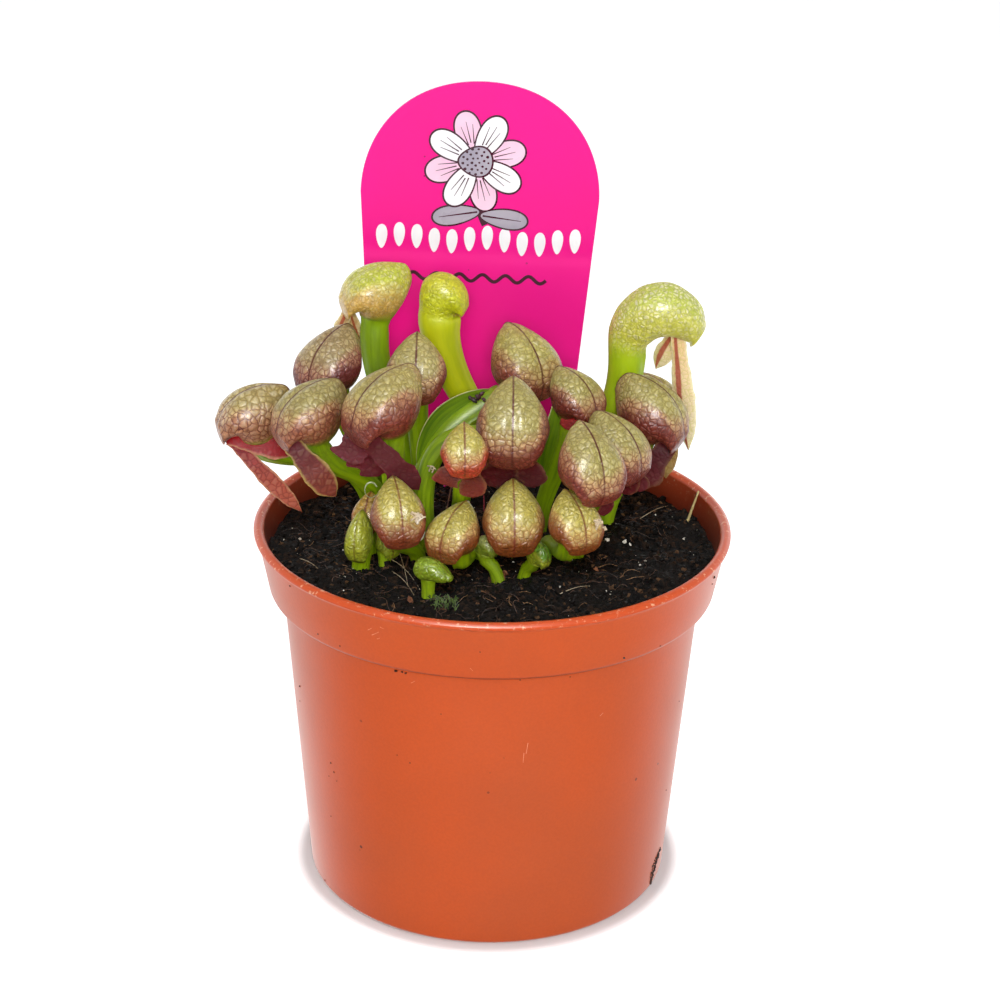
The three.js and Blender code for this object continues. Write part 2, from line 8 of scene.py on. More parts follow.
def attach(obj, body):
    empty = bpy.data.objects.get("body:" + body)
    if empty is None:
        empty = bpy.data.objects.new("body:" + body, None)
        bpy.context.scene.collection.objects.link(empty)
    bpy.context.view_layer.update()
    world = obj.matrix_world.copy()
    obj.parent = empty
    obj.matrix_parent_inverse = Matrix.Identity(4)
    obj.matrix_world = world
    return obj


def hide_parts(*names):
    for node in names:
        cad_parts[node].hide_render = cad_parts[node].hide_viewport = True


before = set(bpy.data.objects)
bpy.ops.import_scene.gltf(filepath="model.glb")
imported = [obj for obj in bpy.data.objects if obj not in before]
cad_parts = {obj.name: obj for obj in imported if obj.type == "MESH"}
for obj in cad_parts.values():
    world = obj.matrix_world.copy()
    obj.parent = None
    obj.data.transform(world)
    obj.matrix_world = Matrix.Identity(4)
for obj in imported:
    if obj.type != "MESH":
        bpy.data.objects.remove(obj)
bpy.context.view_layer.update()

# Looks of the potted pitcher plant. Shapes are worked out in millimetres and put into meshes in metres.
MM = 0.001
UP = np.array([0.0, 0.0, 1.0])
NEARLY_UP = np.array([0.13, 0.21, 1.0])
TAU = 2 * math.pi


# Camera
CAMERA_PLACE = np.array([0.0, -581.9, 353.5])
CAMERA_AIM = np.array([1.8, 0.0, 101.1])
CAMERA_ROLL = math.radians(1.03)
SENSOR = 36.0
FOCAL_PIXELS = 2524.0
PHOTO_SIZE = 1000.0
CLIP_START = 0.01


def unit(v):
    """The vector, or each vector of an array, made one long."""
    return v / np.linalg.norm(v, axis=-1, keepdims=True)


def camera_axes():
    """Right, up and forward of the camera: level axes turned by the roll about forward."""
    forward = unit(CAMERA_AIM - CAMERA_PLACE)
    right = unit(np.cross(forward, UP))
    above = np.cross(right, forward)
    turned_right = right * math.cos(CAMERA_ROLL) + above * math.sin(CAMERA_ROLL)
    turned_up = above * math.cos(CAMERA_ROLL) - right * math.sin(CAMERA_ROLL)
    return turned_right, turned_up, forward


def make_camera():
    data = bpy.data.cameras.new("camera")
    data.sensor_width = SENSOR
    data.lens = FOCAL_PIXELS / PHOTO_SIZE * SENSOR
    data.clip_start = CLIP_START
    camera = bpy.data.objects.new("camera", data)
    right, above, forward = camera_axes()
    turn = Matrix([right, above, -forward]).transposed().to_4x4()
    camera.matrix_world = Matrix.Translation(Vector(CAMERA_PLACE * MM)) @ turn
    bpy.context.scene.collection.objects.link(camera)
    bpy.context.scene.camera = camera


def pixel_ray(px, py):
    """The way from the camera through a pixel of the photograph, one long along the camera's own way."""
    right, above, forward = camera_axes()
    return forward + (right * (px - PHOTO_SIZE / 2) - above * (py - PHOTO_SIZE / 2)) / FOCAL_PIXELS


def seen_at(px, py, level):
    """The point at that height which a pixel of the photograph shows."""
    ray = pixel_ray(px, py)
    return CAMERA_PLACE + ray * (level - CAMERA_PLACE[2]) / ray[2]


def seen_before(px, py, depth):
    """The point that a pixel of the photograph shows on the upright plane at y = depth."""
    ray = pixel_ray(px, py)
    return CAMERA_PLACE + ray * (depth - CAMERA_PLACE[1]) / ray[1]


make_camera()


# Light and floor
WORLD_FRONT = 0.25
WORLD_AROUND = 0.9
WORLD_TOP_SHARE = 0.55
GLOSS_FRONT = 0.12
GLOSS_BACK = 2.1
GLOSS_TOP_SHARE = 0.35
FLOOR_SIZE = 6.0
FLOOR_GLOW = 0.16
FLOOR_SEEN_GLOW = 0.42
# how far from the pot's axis the floor glows in full and not at all, in metres; between them is a painted
# contact shadow
FLOOR_DIM_FROM = 0.0518
FLOOR_DIM_TO = 0.0478
LIGHTS = {
    # name: place in mm, aim in mm, width and height in mm, watts, lights matt surfaces, shows in gloss
    "key": ((20, -800, 460), (0, 0, 100), 240, 240, 4.4, True, False),
    "flash": ((-60, -560, 600), (-5, 0, 112), 300, 240, 11.5, False, True),
    "glint_low": ((-130, -640, 140), (-8, 0, 112), 60, 60, 0.15, False, True),
    "fill_left": ((-560, -420, 240), (0, 0, 100), 300, 300, 0.7, True, False),
    "fill_right": ((620, -420, 330), (0, 0, 90), 420, 420, 1.2, True, False),
    "top": ((-120, -60, 900), (0, 0, 60), 700, 700, 1.8, True, False),
}


def make_light(name, place, aim, width, height, watts, matt, gloss):
    data = bpy.data.lights.new(name, "AREA")
    data.shape = "RECTANGLE"
    data.size = width * MM
    data.size_y = height * MM
    data.energy = watts
    light = bpy.data.objects.new(name, data)
    light.location = Vector(place) * MM
    light.rotation_mode = "QUATERNION"
    light.rotation_quaternion = (Vector(aim) - Vector(place)).to_track_quat("-Z", "Y")
    light.visible_diffuse = matt
    light.visible_glossy = gloss
    bpy.context.scene.collection.objects.link(light)


for light_name, facts in LIGHTS.items():
    make_light(light_name, *facts)


# Shader helpers
class Shades:
    """Adds shader nodes to a tree. A value that is a socket is linked, and any other value is set."""

    def __init__(self, tree):
        self.tree = tree

    def add(self, kind, inputs=None, **settings):
        node = self.tree.nodes.new("ShaderNode" + kind)
        for key, value in settings.items():
            setattr(node, key, value)
        for key, value in (inputs or {}).items():
            if isinstance(value, bpy.types.NodeSocket):
                self.tree.links.new(value, node.inputs[key])
            else:
                node.inputs[key].default_value = value
        return node

    def math(self, operation, a, b=0.0, c=0.0):
        return self.add("Math", {0: a, 1: b, 2: c}, operation=operation).outputs[0]

    def times(self, first, *others):
        """Product of all the values."""
        for other in others:
            first = self.math("MULTIPLY", first, other)
        return first

    def plus(self, a, b):
        return self.math("ADD", a, b)

    def step(self, value, low, high, to_low=0.0, to_high=1.0):
        """Smooth step of a value from to_low at low to to_high at high."""
        inputs = {"Value": value, "From Min": low, "From Max": high, "To Min": to_low, "To Max": to_high}
        return self.add("MapRange", inputs, interpolation_type="SMOOTHSTEP").outputs[0]

    def mix(self, share, a, b, blend="MIX"):
        """Colour a turned into colour b by the share."""
        return self.add("Mix", {0: share, 6: a, 7: b}, data_type="RGBA", blend_type=blend).outputs[2]

    def noise(self, vector, scale, detail=3.0, rough=0.5):
        inputs = {"Vector": vector, "Scale": scale, "Detail": detail, "Roughness": rough}
        return self.add("TexNoise", inputs).outputs[0]

    def object_place(self):
        return self.add("TexCoord").outputs["Object"]

    def value_of(self, name):
        return self.add("Attribute", attribute_name=name).outputs["Fac"]

    def vector_of(self, name):
        return self.add("Attribute", attribute_name=name).outputs["Vector"]


def srgb(red, green, blue):
    """Linear colour from screen values of 0 to 255."""
    return tuple(((c / 255 + 0.055) / 1.055) ** 2.4 for c in (red, green, blue)) + (1.0,)


def new_group(name, inputs, outputs):
    """Shader node group. inputs are names with defaults, where four numbers make a colour.
    outputs are names with kinds."""
    group = bpy.data.node_groups.new(name, "ShaderNodeTree")
    for key, value in inputs.items():
        kind = "NodeSocketColor" if isinstance(value, tuple) else "NodeSocketFloat"
        socket = group.interface.new_socket(name=key, in_out="INPUT", socket_type=kind)
        socket.default_value = value
    for key, kind in outputs.items():
        group.interface.new_socket(name=key, in_out="OUTPUT", socket_type=kind)
    shades = Shades(group)
    return group, shades, (group.nodes.new("NodeGroupInput"), group.nodes.new("NodeGroupOutput"))


def finish_group(group, sink, results):
    for key, socket in results.items():
        group.links.new(socket, sink.inputs[key])


COLOR = "NodeSocketColor"
FLOAT = "NodeSocketFloat"


def make_grime_group():
    """Dirt specks: small round spots round random points, kept where the point's own random number is low."""
    inputs = {"Color": srgb(200, 90, 50), "Dirt": srgb(50, 28, 20), "Spacing": 160.0, "Size": 0.05,
              "Share": 0.2, "Cloud": 0.1}
    group, s, (source, sink) = new_group("grime", inputs, {"Color": COLOR, "Specks": FLOAT})
    place = s.object_place()
    spots = s.add("TexVoronoi", {"Vector": place, "Scale": source.outputs["Spacing"]}, feature="F1")
    luck = s.add("SeparateColor", {0: spots.outputs["Color"]}).outputs[0]
    wanted = s.math("LESS_THAN", luck, source.outputs["Share"])
    size = s.times(source.outputs["Size"], s.step(luck, 0.0, 0.3, 1.4, 0.5))
    near = s.math("LESS_THAN", spots.outputs["Distance"], size)
    specks = s.times(near, wanted, s.step(s.noise(place, 22.0, 2.0), 0.35, 0.6))
    cloud = s.times(s.step(s.noise(place, 38.0, 4.0), 0.3, 0.75), source.outputs["Cloud"])
    clouded = s.mix(cloud, source.outputs["Color"], source.outputs["Dirt"])
    color = s.mix(s.times(specks, 0.85), clouded, source.outputs["Dirt"])
    finish_group(group, sink, {"Color": color, "Specks": specks})
    return group


# What the leaf skin takes, and its values for most leaves: colours by place, shares from 0 to 1, and the
# width of a cell in mm
SKIN = {
    "Top": srgb(170, 158, 84),
    "Middle": srgb(184, 132, 88),
    "Window": srgb(212, 198, 150),
    "Net": srgb(84, 26, 20),
    "Net Top": srgb(104, 84, 34),
    "Low": srgb(122, 30, 24),
    "Tube": srgb(146, 176, 8),
    "Tube Shade": srgb(78, 112, 6),
    "Tail Root": srgb(78, 4, 18),
    "Tail Tip": srgb(98, 12, 24),
    "Tail Rim": srgb(150, 110, 60),
    "Tail Rim Share": 0.25,
    "Tail Net": 0.4,
    "Tail Window": 0.03,
    "Strip": srgb(150, 62, 44),
    "Strip Share": 0.0,
    "Strip Place": 0.0,
    "Second": srgb(164, 6, 24),
    "Second Share": 0.0,
    "Cell": 1.5,
    "Net Width": 0.1,
    "Net Share": 0.9,
    "Fine Net": 0.5,
    "Window Share": 0.35,
    "Low Share": 0.9,
    "Keel": srgb(84, 10, 6),
    "Keel Share": 1.0,
    "Keel Width": 0.42,
    "Neck Red": 0.2,
}


def make_skin_group():
    """Skin of a pitcher leaf. The hood has pale windows in a net of veins, a red low edge and a dark keel
    line. The tube is streaked lengthwise, and the tail goes from its root's colour to its tip's."""
    outputs = {"Color": COLOR, "Roughness": FLOAT, "Height": FLOAT, "Coat": FLOAT}
    group, s, (source, sink) = new_group("leaf skin", SKIN, outputs)
    i = source.outputs
    hood, tail_part, flap = s.value_of("hood"), s.value_of("tail"), s.value_of("flap")
    rim_place = s.value_of("rim")

    # cells: the place is bent a little, so that the net's lines are not straight
    place = s.object_place()
    wobble = s.add("TexNoise", {"Vector": place, "Scale": 420.0, "Detail": 2.0}).outputs[1]
    centred = s.add("VectorMath", {0: wobble, 1: (0.5, 0.5, 0.5)}, operation="SUBTRACT").outputs[0]
    shift = s.add("VectorMath", {0: centred, "Scale": 0.0011}, operation="SCALE").outputs[0]
    bent = s.add("VectorMath", {0: place, 1: shift}, operation="ADD").outputs[0]
    cells_a_metre = s.math("DIVIDE", 1000.0, i["Cell"])
    cells = {"Vector": bent, "Scale": cells_a_metre, "Randomness": 0.9}
    fine_cells = {"Vector": bent, "Scale": s.times(cells_a_metre, 2.1)}
    edge = s.add("TexVoronoi", cells, feature="DISTANCE_TO_EDGE").outputs["Distance"]
    fine_edge = s.add("TexVoronoi", fine_cells, feature="DISTANCE_TO_EDGE").outputs["Distance"]
    luck = s.add("SeparateColor", {0: s.add("TexVoronoi", cells, feature="F1").outputs["Color"]}).outputs[0]
    mottle = s.noise(place, 700.0, 3.0)
    drift = s.noise(place, 130.0, 2.0)
    fleck = s.noise(place, 2100.0, 2.0)

    # veins
    net = s.step(edge, i["Net Width"], 0.0)
    fine_net = s.times(s.step(fine_edge, 0.12, 0.0), s.step(drift, 0.35, 0.65, 0.2, 1.0), i["Fine Net"])
    veins = s.math("MAXIMUM", net, fine_net)
    centre = s.step(edge, 0.06, 0.26)

    # hood
    low = s.plus(s.value_of("low"), s.math("MULTIPLY_ADD", drift, 0.5, -0.25))
    net_color = s.mix(s.step(low, 0.0, 0.35), i["Net Top"], i["Net"])
    skin = s.mix(s.step(low, 0.02, 0.46), i["Top"], i["Middle"])
    window_share = s.times(centre, i["Window Share"], s.step(luck, 0.0, 1.0, 0.4, 1.0))
    skin = s.mix(window_share, skin, i["Window"])
    skin = s.mix(s.times(s.step(low, 0.32, 0.74), i["Low Share"]), skin, i["Low"])
    shade = s.times(s.step(mottle, 0.3, 0.7, 0.78, 1.12), s.step(fleck, 0.3, 0.7, 0.86, 1.12))
    skin = s.mix(1.0, skin, s.add("CombineColor", {0: shade, 1: shade, 2: shade}).outputs[0], "MULTIPLY")
    low_veins = s.step(low, -0.1, 0.6, 0.5, 1.0)
    vein_share = s.times(veins, i["Net Share"], low_veins, s.step(mottle, 0.3, 0.6, 0.6, 1.0))
    skin = s.mix(vein_share, skin, net_color)
    worn = s.times(i["Keel Share"], s.step(drift, 0.3, 0.55, 0.75, 1.0))
    keel_line = s.times(s.step(s.value_of("keel"), i["Keel Width"], 0.05), worn)
    skin = s.mix(keel_line, skin, i["Keel"])

    # tube and flap
    streak = s.step(s.noise(s.vector_of("grain"), 2.6, 3.0, 0.6), 0.34, 0.76, 0.0, 0.6)
    # painted shade: the flap is darker, towards Tube Shade, where it stands deep between the tubes
    tube = s.mix(s.math("MULTIPLY_ADD", flap, 0.5, streak), i["Tube"], i["Tube Shade"])
    tube = s.mix(s.times(flap, s.step(rim_place, 0.86, 0.98, 0.0, 0.7)), tube, i["Window"])
    tube = s.mix(s.times(net, i["Neck Red"], s.value_of("neck")), tube, i["Net"])

    # tail
    tail = s.mix(s.step(s.value_of("along"), 0.1, 0.95), i["Tail Root"], i["Tail Tip"])
    tail = s.mix(s.times(veins, i["Tail Net"]), tail, i["Net"])
    tail = s.mix(s.times(centre, luck, i["Tail Window"]), tail, i["Window"])
    second = s.times(s.value_of("second"), i["Second Share"], s.step(mottle, 0.62, 0.7, 1.0, 0.5))
    tail = s.mix(second, tail, i["Second"])
    from_strip = s.math("ABSOLUTE", s.math("SUBTRACT", s.value_of("across"), i["Strip Place"]))
    strip_edge = s.step(s.math("MULTIPLY_ADD", drift, 0.3, from_strip), 0.5, 0.32)
    tail = s.mix(s.times(strip_edge, i["Strip Share"]), tail, i["Strip"])
    tail = s.mix(s.times(s.step(rim_place, 0.7, 0.98), i["Tail Rim Share"]), tail, i["Tail Rim"])

    # all together
    color = s.mix(hood, tube, skin)
    color = s.mix(tail_part, color, tail)
    pillow = s.times(s.step(edge, 0.0, 0.3), s.plus(hood, s.times(tail_part, 0.6)))
    height = s.plus(pillow, s.times(s.noise(place, 2400.0, 2.0), 0.35))
    roughness = s.plus(s.step(mottle, 0.3, 0.7, 0.42, 0.52), s.times(tail_part, 0.25))
    coat = s.math("MULTIPLY_ADD", hood, 0.22, s.times(tail_part, 0.08))
    finish_group(group, sink, {"Color": color, "Roughness": roughness, "Height": height, "Coat": coat})
    return group


def new_material(name):
    material = bpy.data.materials.new(name)
    material.use_nodes = True
    material.node_tree.nodes.clear()
    s = Shades(material.node_tree)
    surface = s.add("BsdfPrincipled")
    output = s.add("OutputMaterial")
    material.node_tree.links.new(surface.outputs[0], output.inputs["Surface"])
    return material, s, surface


def drive(s, surface, color, roughness=None, height=None, relief=0.0001):
    """Links a colour, a roughness and a height to a surface. relief is the height 1 in metres."""
    s.tree.links.new(color, surface.inputs["Base Color"])
    if roughness is not None:
        s.tree.links.new(roughness, surface.inputs["Roughness"])
    if height is not None:
        bump = s.add("Bump", {"Height": height, "Distance": relief})
        s.tree.links.new(bump.outputs[0], surface.inputs["Normal"])


GRIME = make_grime_group()
SKIN_GROUP = make_skin_group()


def place_group(s, group, values):
    node = s.add("Group", node_tree=group)
    for key, value in values.items():
        if isinstance(value, bpy.types.NodeSocket):
            s.tree.links.new(value, node.inputs[key])
        else:
            node.inputs[key].default_value = value
    return node


def leaf_material(name, looks):
    material, s, surface = new_material(name)
    skin = place_group(s, SKIN_GROUP, looks)
    drive(s, surface, skin.outputs["Color"], skin.outputs["Roughness"], skin.outputs["Height"], 0.00016)
    s.tree.links.new(skin.outputs["Coat"], surface.inputs["Coat Weight"])
    surface.inputs["Coat Roughness"].default_value = 0.2
    surface.inputs["Specular IOR Level"].default_value = 0.42
    surface.inputs["Subsurface Weight"].default_value = 0.08
    surface.inputs["Subsurface Radius"].default_value = (0.6, 0.5, 0.1)
    surface.inputs["Subsurface Scale"].default_value = 0.002
    return material


def pot_material():
    """Satin orange plastic: soft mottling, a painted highlight on the lip, painted shade on the inner wall
    and under the band's ledge, specks of soil and fine orange peel.
    """
    material, s, surface = new_material("pot plastic")
    place = s.object_place()
    mottle = s.step(s.noise(place, 16.0, 4.0), 0.3, 0.7)
    base = s.mix(mottle, srgb(199, 79, 24), srgb(190, 80, 30))
    grain = s.step(s.noise(place, 1500.0, 2.0), 0.3, 0.7, 0.0, 0.16)
    base = s.mix(grain, base, srgb(160, 58, 24))
    lip = s.value_of("lip")
    base = s.mix(s.times(lip, 0.7), base, srgb(206, 74, 20))
    # painted highlight: pale patches on the lip, where its rounded edge catches the light
    lip_highlight = s.times(lip, s.step(s.noise(place, 620.0, 4.0, 0.7), 0.56, 0.7, 0.0, 0.75))
    base = s.mix(lip_highlight, base, srgb(244, 196, 156))
    # painted shade: the inner wall above the soil is darkened, as if in the pot's own shade
    base = s.mix(s.times(s.value_of("inside"), 0.9), base, srgb(78, 20, 10))
    # painted shade: a dark line just under the band's ledge, where the band overhangs the wall
    base = s.mix(s.times(s.value_of("seam"), 0.8), base, srgb(104, 34, 14))
    specks = place_group(s, GRIME, {"Color": base, "Dirt": srgb(62, 24, 14), "Spacing": 190.0, "Size": 0.06,
                                    "Share": 0.16, "Cloud": 0.06})
    peel = s.noise(place, 1300.0, 2.0)
    height = s.plus(peel, s.times(specks.outputs["Specks"], 2.0))
    roughness = s.math("MULTIPLY_ADD", mottle, 0.08, 0.33)
    drive(s, surface, specks.outputs["Color"], roughness, height, 0.00002)
    surface.inputs["IOR"].default_value = 1.5
    return material


def label_material():
    """Glossy pink print with the faintest cloud, a few dust specks and a whiter cut edge."""
    material, s, surface = new_material("label plastic")
    place = s.object_place()
    cloud = s.step(s.noise(place, 20.0, 3.0), 0.3, 0.7)
    base = s.mix(cloud, srgb(242, 18, 142), srgb(238, 16, 136))
    base = s.mix(s.value_of("cut"), base, srgb(235, 120, 180))
    specks = place_group(s, GRIME, {"Color": base, "Dirt": srgb(150, 30, 80), "Spacing": 260.0, "Size": 0.05,
                                    "Share": 0.1, "Cloud": 0.03})
    roughness = s.step(cloud, 0.0, 1.0, 0.38, 0.44)
    drive(s, surface, specks.outputs["Color"], roughness, s.noise(place, 500.0, 2.0), 0.00001)
    surface.inputs["IOR"].default_value = 1.25
    return material


def print_material(name, color, other):
    """Flat ink with a faint uneven tone."""
    material, s, surface = new_material(name)
    place = s.object_place()
    tone = s.step(s.noise(place, 120.0, 3.0), 0.3, 0.7)
    roughness = s.step(tone, 0.0, 1.0, 0.26, 0.36)
    drive(s, surface, s.mix(tone, color, other), roughness, s.noise(place, 900.0), 0.000005)
    return material


def soil_material():
    """Moist peat: near black with brown crumbs, and damp glints where the crumbs are smooth."""
    material, s, surface = new_material("soil")
    place = s.object_place()
    crumbs = s.add("TexVoronoi", {"Vector": place, "Scale": 900.0}, feature="F1")
    luck = s.add("SeparateColor", {0: crumbs.outputs["Color"]}).outputs[0]
    brown = s.mix(s.step(luck, 0.5, 1.0), srgb(11, 8, 6), srgb(50, 33, 20))
    patches = s.step(s.noise(place, 90.0, 3.0), 0.4, 0.7)
    color = s.mix(patches, brown, srgb(22, 16, 12))
    pale = s.times(s.math("GREATER_THAN", luck, 0.965), 0.45)
    color = s.mix(pale, color, srgb(126, 92, 62))
    roughness = s.step(luck, 0.0, 0.5, 0.45, 0.85)
    height = s.plus(s.times(crumbs.outputs["Distance"], 1.4), s.noise(place, 1600.0, 3.0))
    drive(s, surface, color, roughness, height, 0.00045)
    surface.inputs["Specular IOR Level"].default_value = 0.12
    return material


def dry_material(name, light, dark, rough=0.6):
    """Dry plant matter: fine and coarse mottling between a light and a dark tone."""
    material, s, surface = new_material(name)
    place = s.object_place()
    tone = s.step(s.noise(place, 800.0, 4.0), 0.3, 0.7)
    coarse = s.step(s.noise(place, 150.0, 2.0), 0.35, 0.65)
    color = s.mix(s.math("MAXIMUM", s.times(tone, 0.7), coarse), light, dark)
    drive(s, surface, color, s.step(tone, 0.0, 1.0, rough, rough + 0.15), tone, 0.0001)
    return material


# Shape helpers
def through(stations, rows, at):
    """Smooth curve through rows at their stations: each stretch is a cubic with its neighbours' slopes."""
    rows = np.asarray(rows, float)
    slope = np.gradient(rows, stations, axis=0)
    i = np.clip(np.searchsorted(stations, at, side="right") - 1, 0, len(stations) - 2)
    span = (stations[i + 1] - stations[i])[:, None]
    t = (at - stations[i])[:, None] / span
    first, second = rows[i], rows[i + 1]
    return (first * (1 + 2 * t) * (1 - t) ** 2 + second * t * t * (3 - 2 * t)
            + slope[i] * span * t * (1 - t) ** 2 - slope[i + 1] * span * t * t * (1 - t))


def smooth(value, low, high):
    """0 below low, 1 above high and 3t^2 - 2t^3 between."""
    t = np.clip((value - low) / (high - low), 0, 1)
    return t * t * (3 - 2 * t)


LATTICE_FACTORS = np.array([73856093, 19349663, 83492791])
SEED_FACTOR = 7919
HASH_FACTOR = 1274126177


def noise(points, size, seed=0):
    """Smooth noise from -1 to 1: random values on a lattice of that size, blended by 3t^2 - 2t^3."""
    scaled = np.asarray(points, float) / size
    cell = np.floor(scaled).astype(np.int64)
    t = scaled - cell
    t = t * t * (3 - 2 * t)
    total = np.zeros(scaled.shape[:-1])
    for corner in np.ndindex(2, 2, 2):
        key = ((cell + corner) * LATTICE_FACTORS).sum(-1) + seed * SEED_FACTOR
        key = (key ^ (key >> 13)) & 0xFFFFFF
        key = (key * HASH_FACTOR) & 0xFFFFFFFF
        key = key ^ (key >> 15)
        value = (key & 0xFFFF) / 32767.5 - 1
        total += value * np.prod(np.where(corner, t, 1 - t), -1)
    return total


def grid_faces(rows, columns):
    """Quads of a grid of points, joined round each row."""
    row, column = np.meshgrid(np.arange(rows - 1), np.arange(columns), indexing="ij")
    beside = (column + 1) % columns
    here, onward = row * columns, (row + 1) * columns
    return np.stack([here + column, here + beside, onward + beside, onward + column], -1).reshape(-1, 4)


def closed_faces(rows, columns):
    """Faces of a row of rings and of a pole at each end, where the poles are the last two points."""
    here = np.arange(columns)
    beside = (here + 1) % columns
    first = rows * columns
    top = (rows - 1) * columns
    low_cap = np.stack([np.full(columns, first), beside, here], -1)
    high_cap = np.stack([np.full(columns, first + 1), top + here, top + beside], -1)
    return [grid_faces(rows, columns), low_cap, high_cap]


def grid_normals(grid):
    """Outward normals of rings: the step round a ring crossed with the step to the next ring."""
    around = np.roll(grid, -1, 1) - np.roll(grid, 1, 1)
    onward = np.gradient(grid, axis=0)
    normal = np.cross(around, onward)
    return normal / np.maximum(np.linalg.norm(normal, axis=-1, keepdims=True), 1e-9)


class Shape:
    """Points in mm, faces of three or four corners and values at the points, gathered from several grids."""

    def __init__(self):
        self.points = []
        self.faces = []
        self.values = {}
        self.count = 0

    def add(self, points, faces, **values):
        points = np.asarray(points, float).reshape(-1, 3)
        for part in faces:
            self.faces.append(part + self.count)
        for key in sorted({*self.values, *values}):
            value = np.asarray(values.get(key, 0.0), float)
            value = np.broadcast_to(value, (len(points),) if value.ndim < 2 else value.shape)
            kept = self.values.get(key)
            wide = value.ndim == 2 or bool(kept and kept[0].ndim == 2)
            if wide and value.ndim == 1:
                value = np.zeros((len(points), 3))
            if kept is None:
                before = np.zeros((self.count, 3) if wide else self.count)
                kept = self.values[key] = [before] if self.count else []
            kept.append(value)
        self.points.append(points)
        self.count += len(points)

    def make(self, name, material, slot, replaced=(), flat=False):
        """Puts the shape into a mesh in metres and makes it a piece that rides with the part."""
        mesh = bpy.data.meshes.new(name)
        points = np.concatenate(self.points) * MM
        corners = np.concatenate([part.reshape(-1) for part in self.faces]).astype(np.int32)
        sizes = np.concatenate([np.full(len(part), part.shape[1]) for part in self.faces])
        starts = np.concatenate([[0], np.cumsum(sizes)[:-1]]).astype(np.int32)
        mesh.vertices.add(len(points))
        mesh.vertices.foreach_set("co", points.astype(np.float32).ravel())
        mesh.loops.add(len(corners))
        mesh.loops.foreach_set("vertex_index", corners)
        mesh.polygons.add(len(sizes))
        mesh.polygons.foreach_set("loop_start", starts)
        mesh.polygons.foreach_set("use_smooth", np.full(len(sizes), not flat))
        mesh.update(calc_edges=True)
        mesh.validate()
        for key, parts in self.values.items():
            value = np.concatenate(parts).astype(np.float32)
            kind, field = ("FLOAT_VECTOR", "vector") if value.ndim == 2 else ("FLOAT", "value")
            mesh.attributes.new(key, kind, "POINT").data.foreach_set(field, value.ravel())
        mesh.materials.append(material)
        piece = bpy.data.objects.new(name, mesh)
        bpy.context.scene.collection.objects.link(piece)
        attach(piece, "root")
        if replaced:
            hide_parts(*replaced)
        return piece


def rounded(outline, radius, steps=4):
    """The outline with each corner between its ends eased by a curve that starts and ends that far off."""
    outline = np.asarray(outline, float)
    points = [outline[0]]
    for before, corner, after in zip(outline[:-2], outline[1:-1], outline[2:]):
        reach = min(radius, 0.45 * np.linalg.norm(corner - before), 0.45 * np.linalg.norm(after - corner))
        start = corner + unit(before - corner) * reach
        end = corner + unit(after - corner) * reach
        for t in np.linspace(0, 1, steps + 1):
            points.append(start * (1 - t) ** 2 + corner * 2 * t * (1 - t) + end * t * t)
    points.append(outline[-1])
    return np.array(points)


def tube_grid(path, radii, sides):
    """Rings of that radius square to a path: across is level, or as near as the path lets it be."""
    path = np.asarray(path, float)
    along = unit(np.gradient(path, axis=0))
    across = unit(np.cross(along, NEARLY_UP))
    away = np.cross(across, along)
    angle = np.arange(sides) / sides * TAU
    radii = np.broadcast_to(radii, len(path))[:, None, None]
    ring = np.cos(angle)[:, None] * across[:, None] + np.sin(angle)[:, None] * away[:, None]
    return path[:, None] + radii * ring


def add_tube(shape, path, radii, sides=6, **values):
    """A closed tube along a path, with a pole at each end."""
    grid = tube_grid(path, radii, sides)[:, ::-1]
    points = np.concatenate([grid.reshape(-1, 3), [path[0], path[-1]]])
    shape.add(points, closed_faces(len(grid), sides), **values)


# Pot: the outline of the solid, its corners eased, turned about the pot's axis
POT_OUTLINE = [
    (0, 0), (18, 0), (19.4, 1.4), (35.6, 1.4), (37, 0), (45.8, 0), (46.6, 0.8), (52.9, 79.2), (55.6, 79.2),
    (56.4, 80), (59, 93.4), (60, 94.2), (60, 94.8), (59.2, 95.6), (58.2, 95.6), (57.4, 94.8), (55.1, 80.5),
    (51.6, 80.5), (45.3, 3), (0, 3),
]
POT_SPOKES = 240
POT_FLOOR = 3
POT_CORNER = 0.7
POT_AXIS_RADIUS = 0.02
POT_RING_SPACING = 5
INNER_WALL_RADIUS = 57.5
INNER_WALL_FOOT = 3.5
# height and half width of the painted shade under the band's ledge, in mm
LEDGE_SHADE_LEVEL = 79.4
LEDGE_SHADE_HALF = 0.5
DRAIN_COUNT = 8
DRAIN_CIRCLE = 27.5
DRAIN_RADIUS = 3.6
DRAIN_BELOW = -2.0
DRAIN_ABOVE = 6.0


def turned_rings(outline, spokes):
    """Rings r(cos a, sin a), z for each point (r, z) of an outline."""
    angle = np.arange(spokes) / spokes * TAU
    level = np.broadcast_to(outline[:, 1:], (len(outline), spokes))
    return np.stack([outline[:, :1] * np.cos(angle), outline[:, :1] * np.sin(angle), level], -1)


def pot_outline():
    """The eased outline, with more points on its long straight stretches, for even shading and painted light.
    """
    outline = rounded(POT_OUTLINE, POT_CORNER)
    outline[0, 0] = outline[-1, 0] = POT_AXIS_RADIUS
    dense = [outline[0]]
    for before, after in zip(outline[:-1], outline[1:]):
        count = max(1, int(np.linalg.norm(after - before) / POT_RING_SPACING))
        dense.extend(before + (after - before) * t for t in np.linspace(0, 1, count + 1)[1:])
    return np.array(dense)


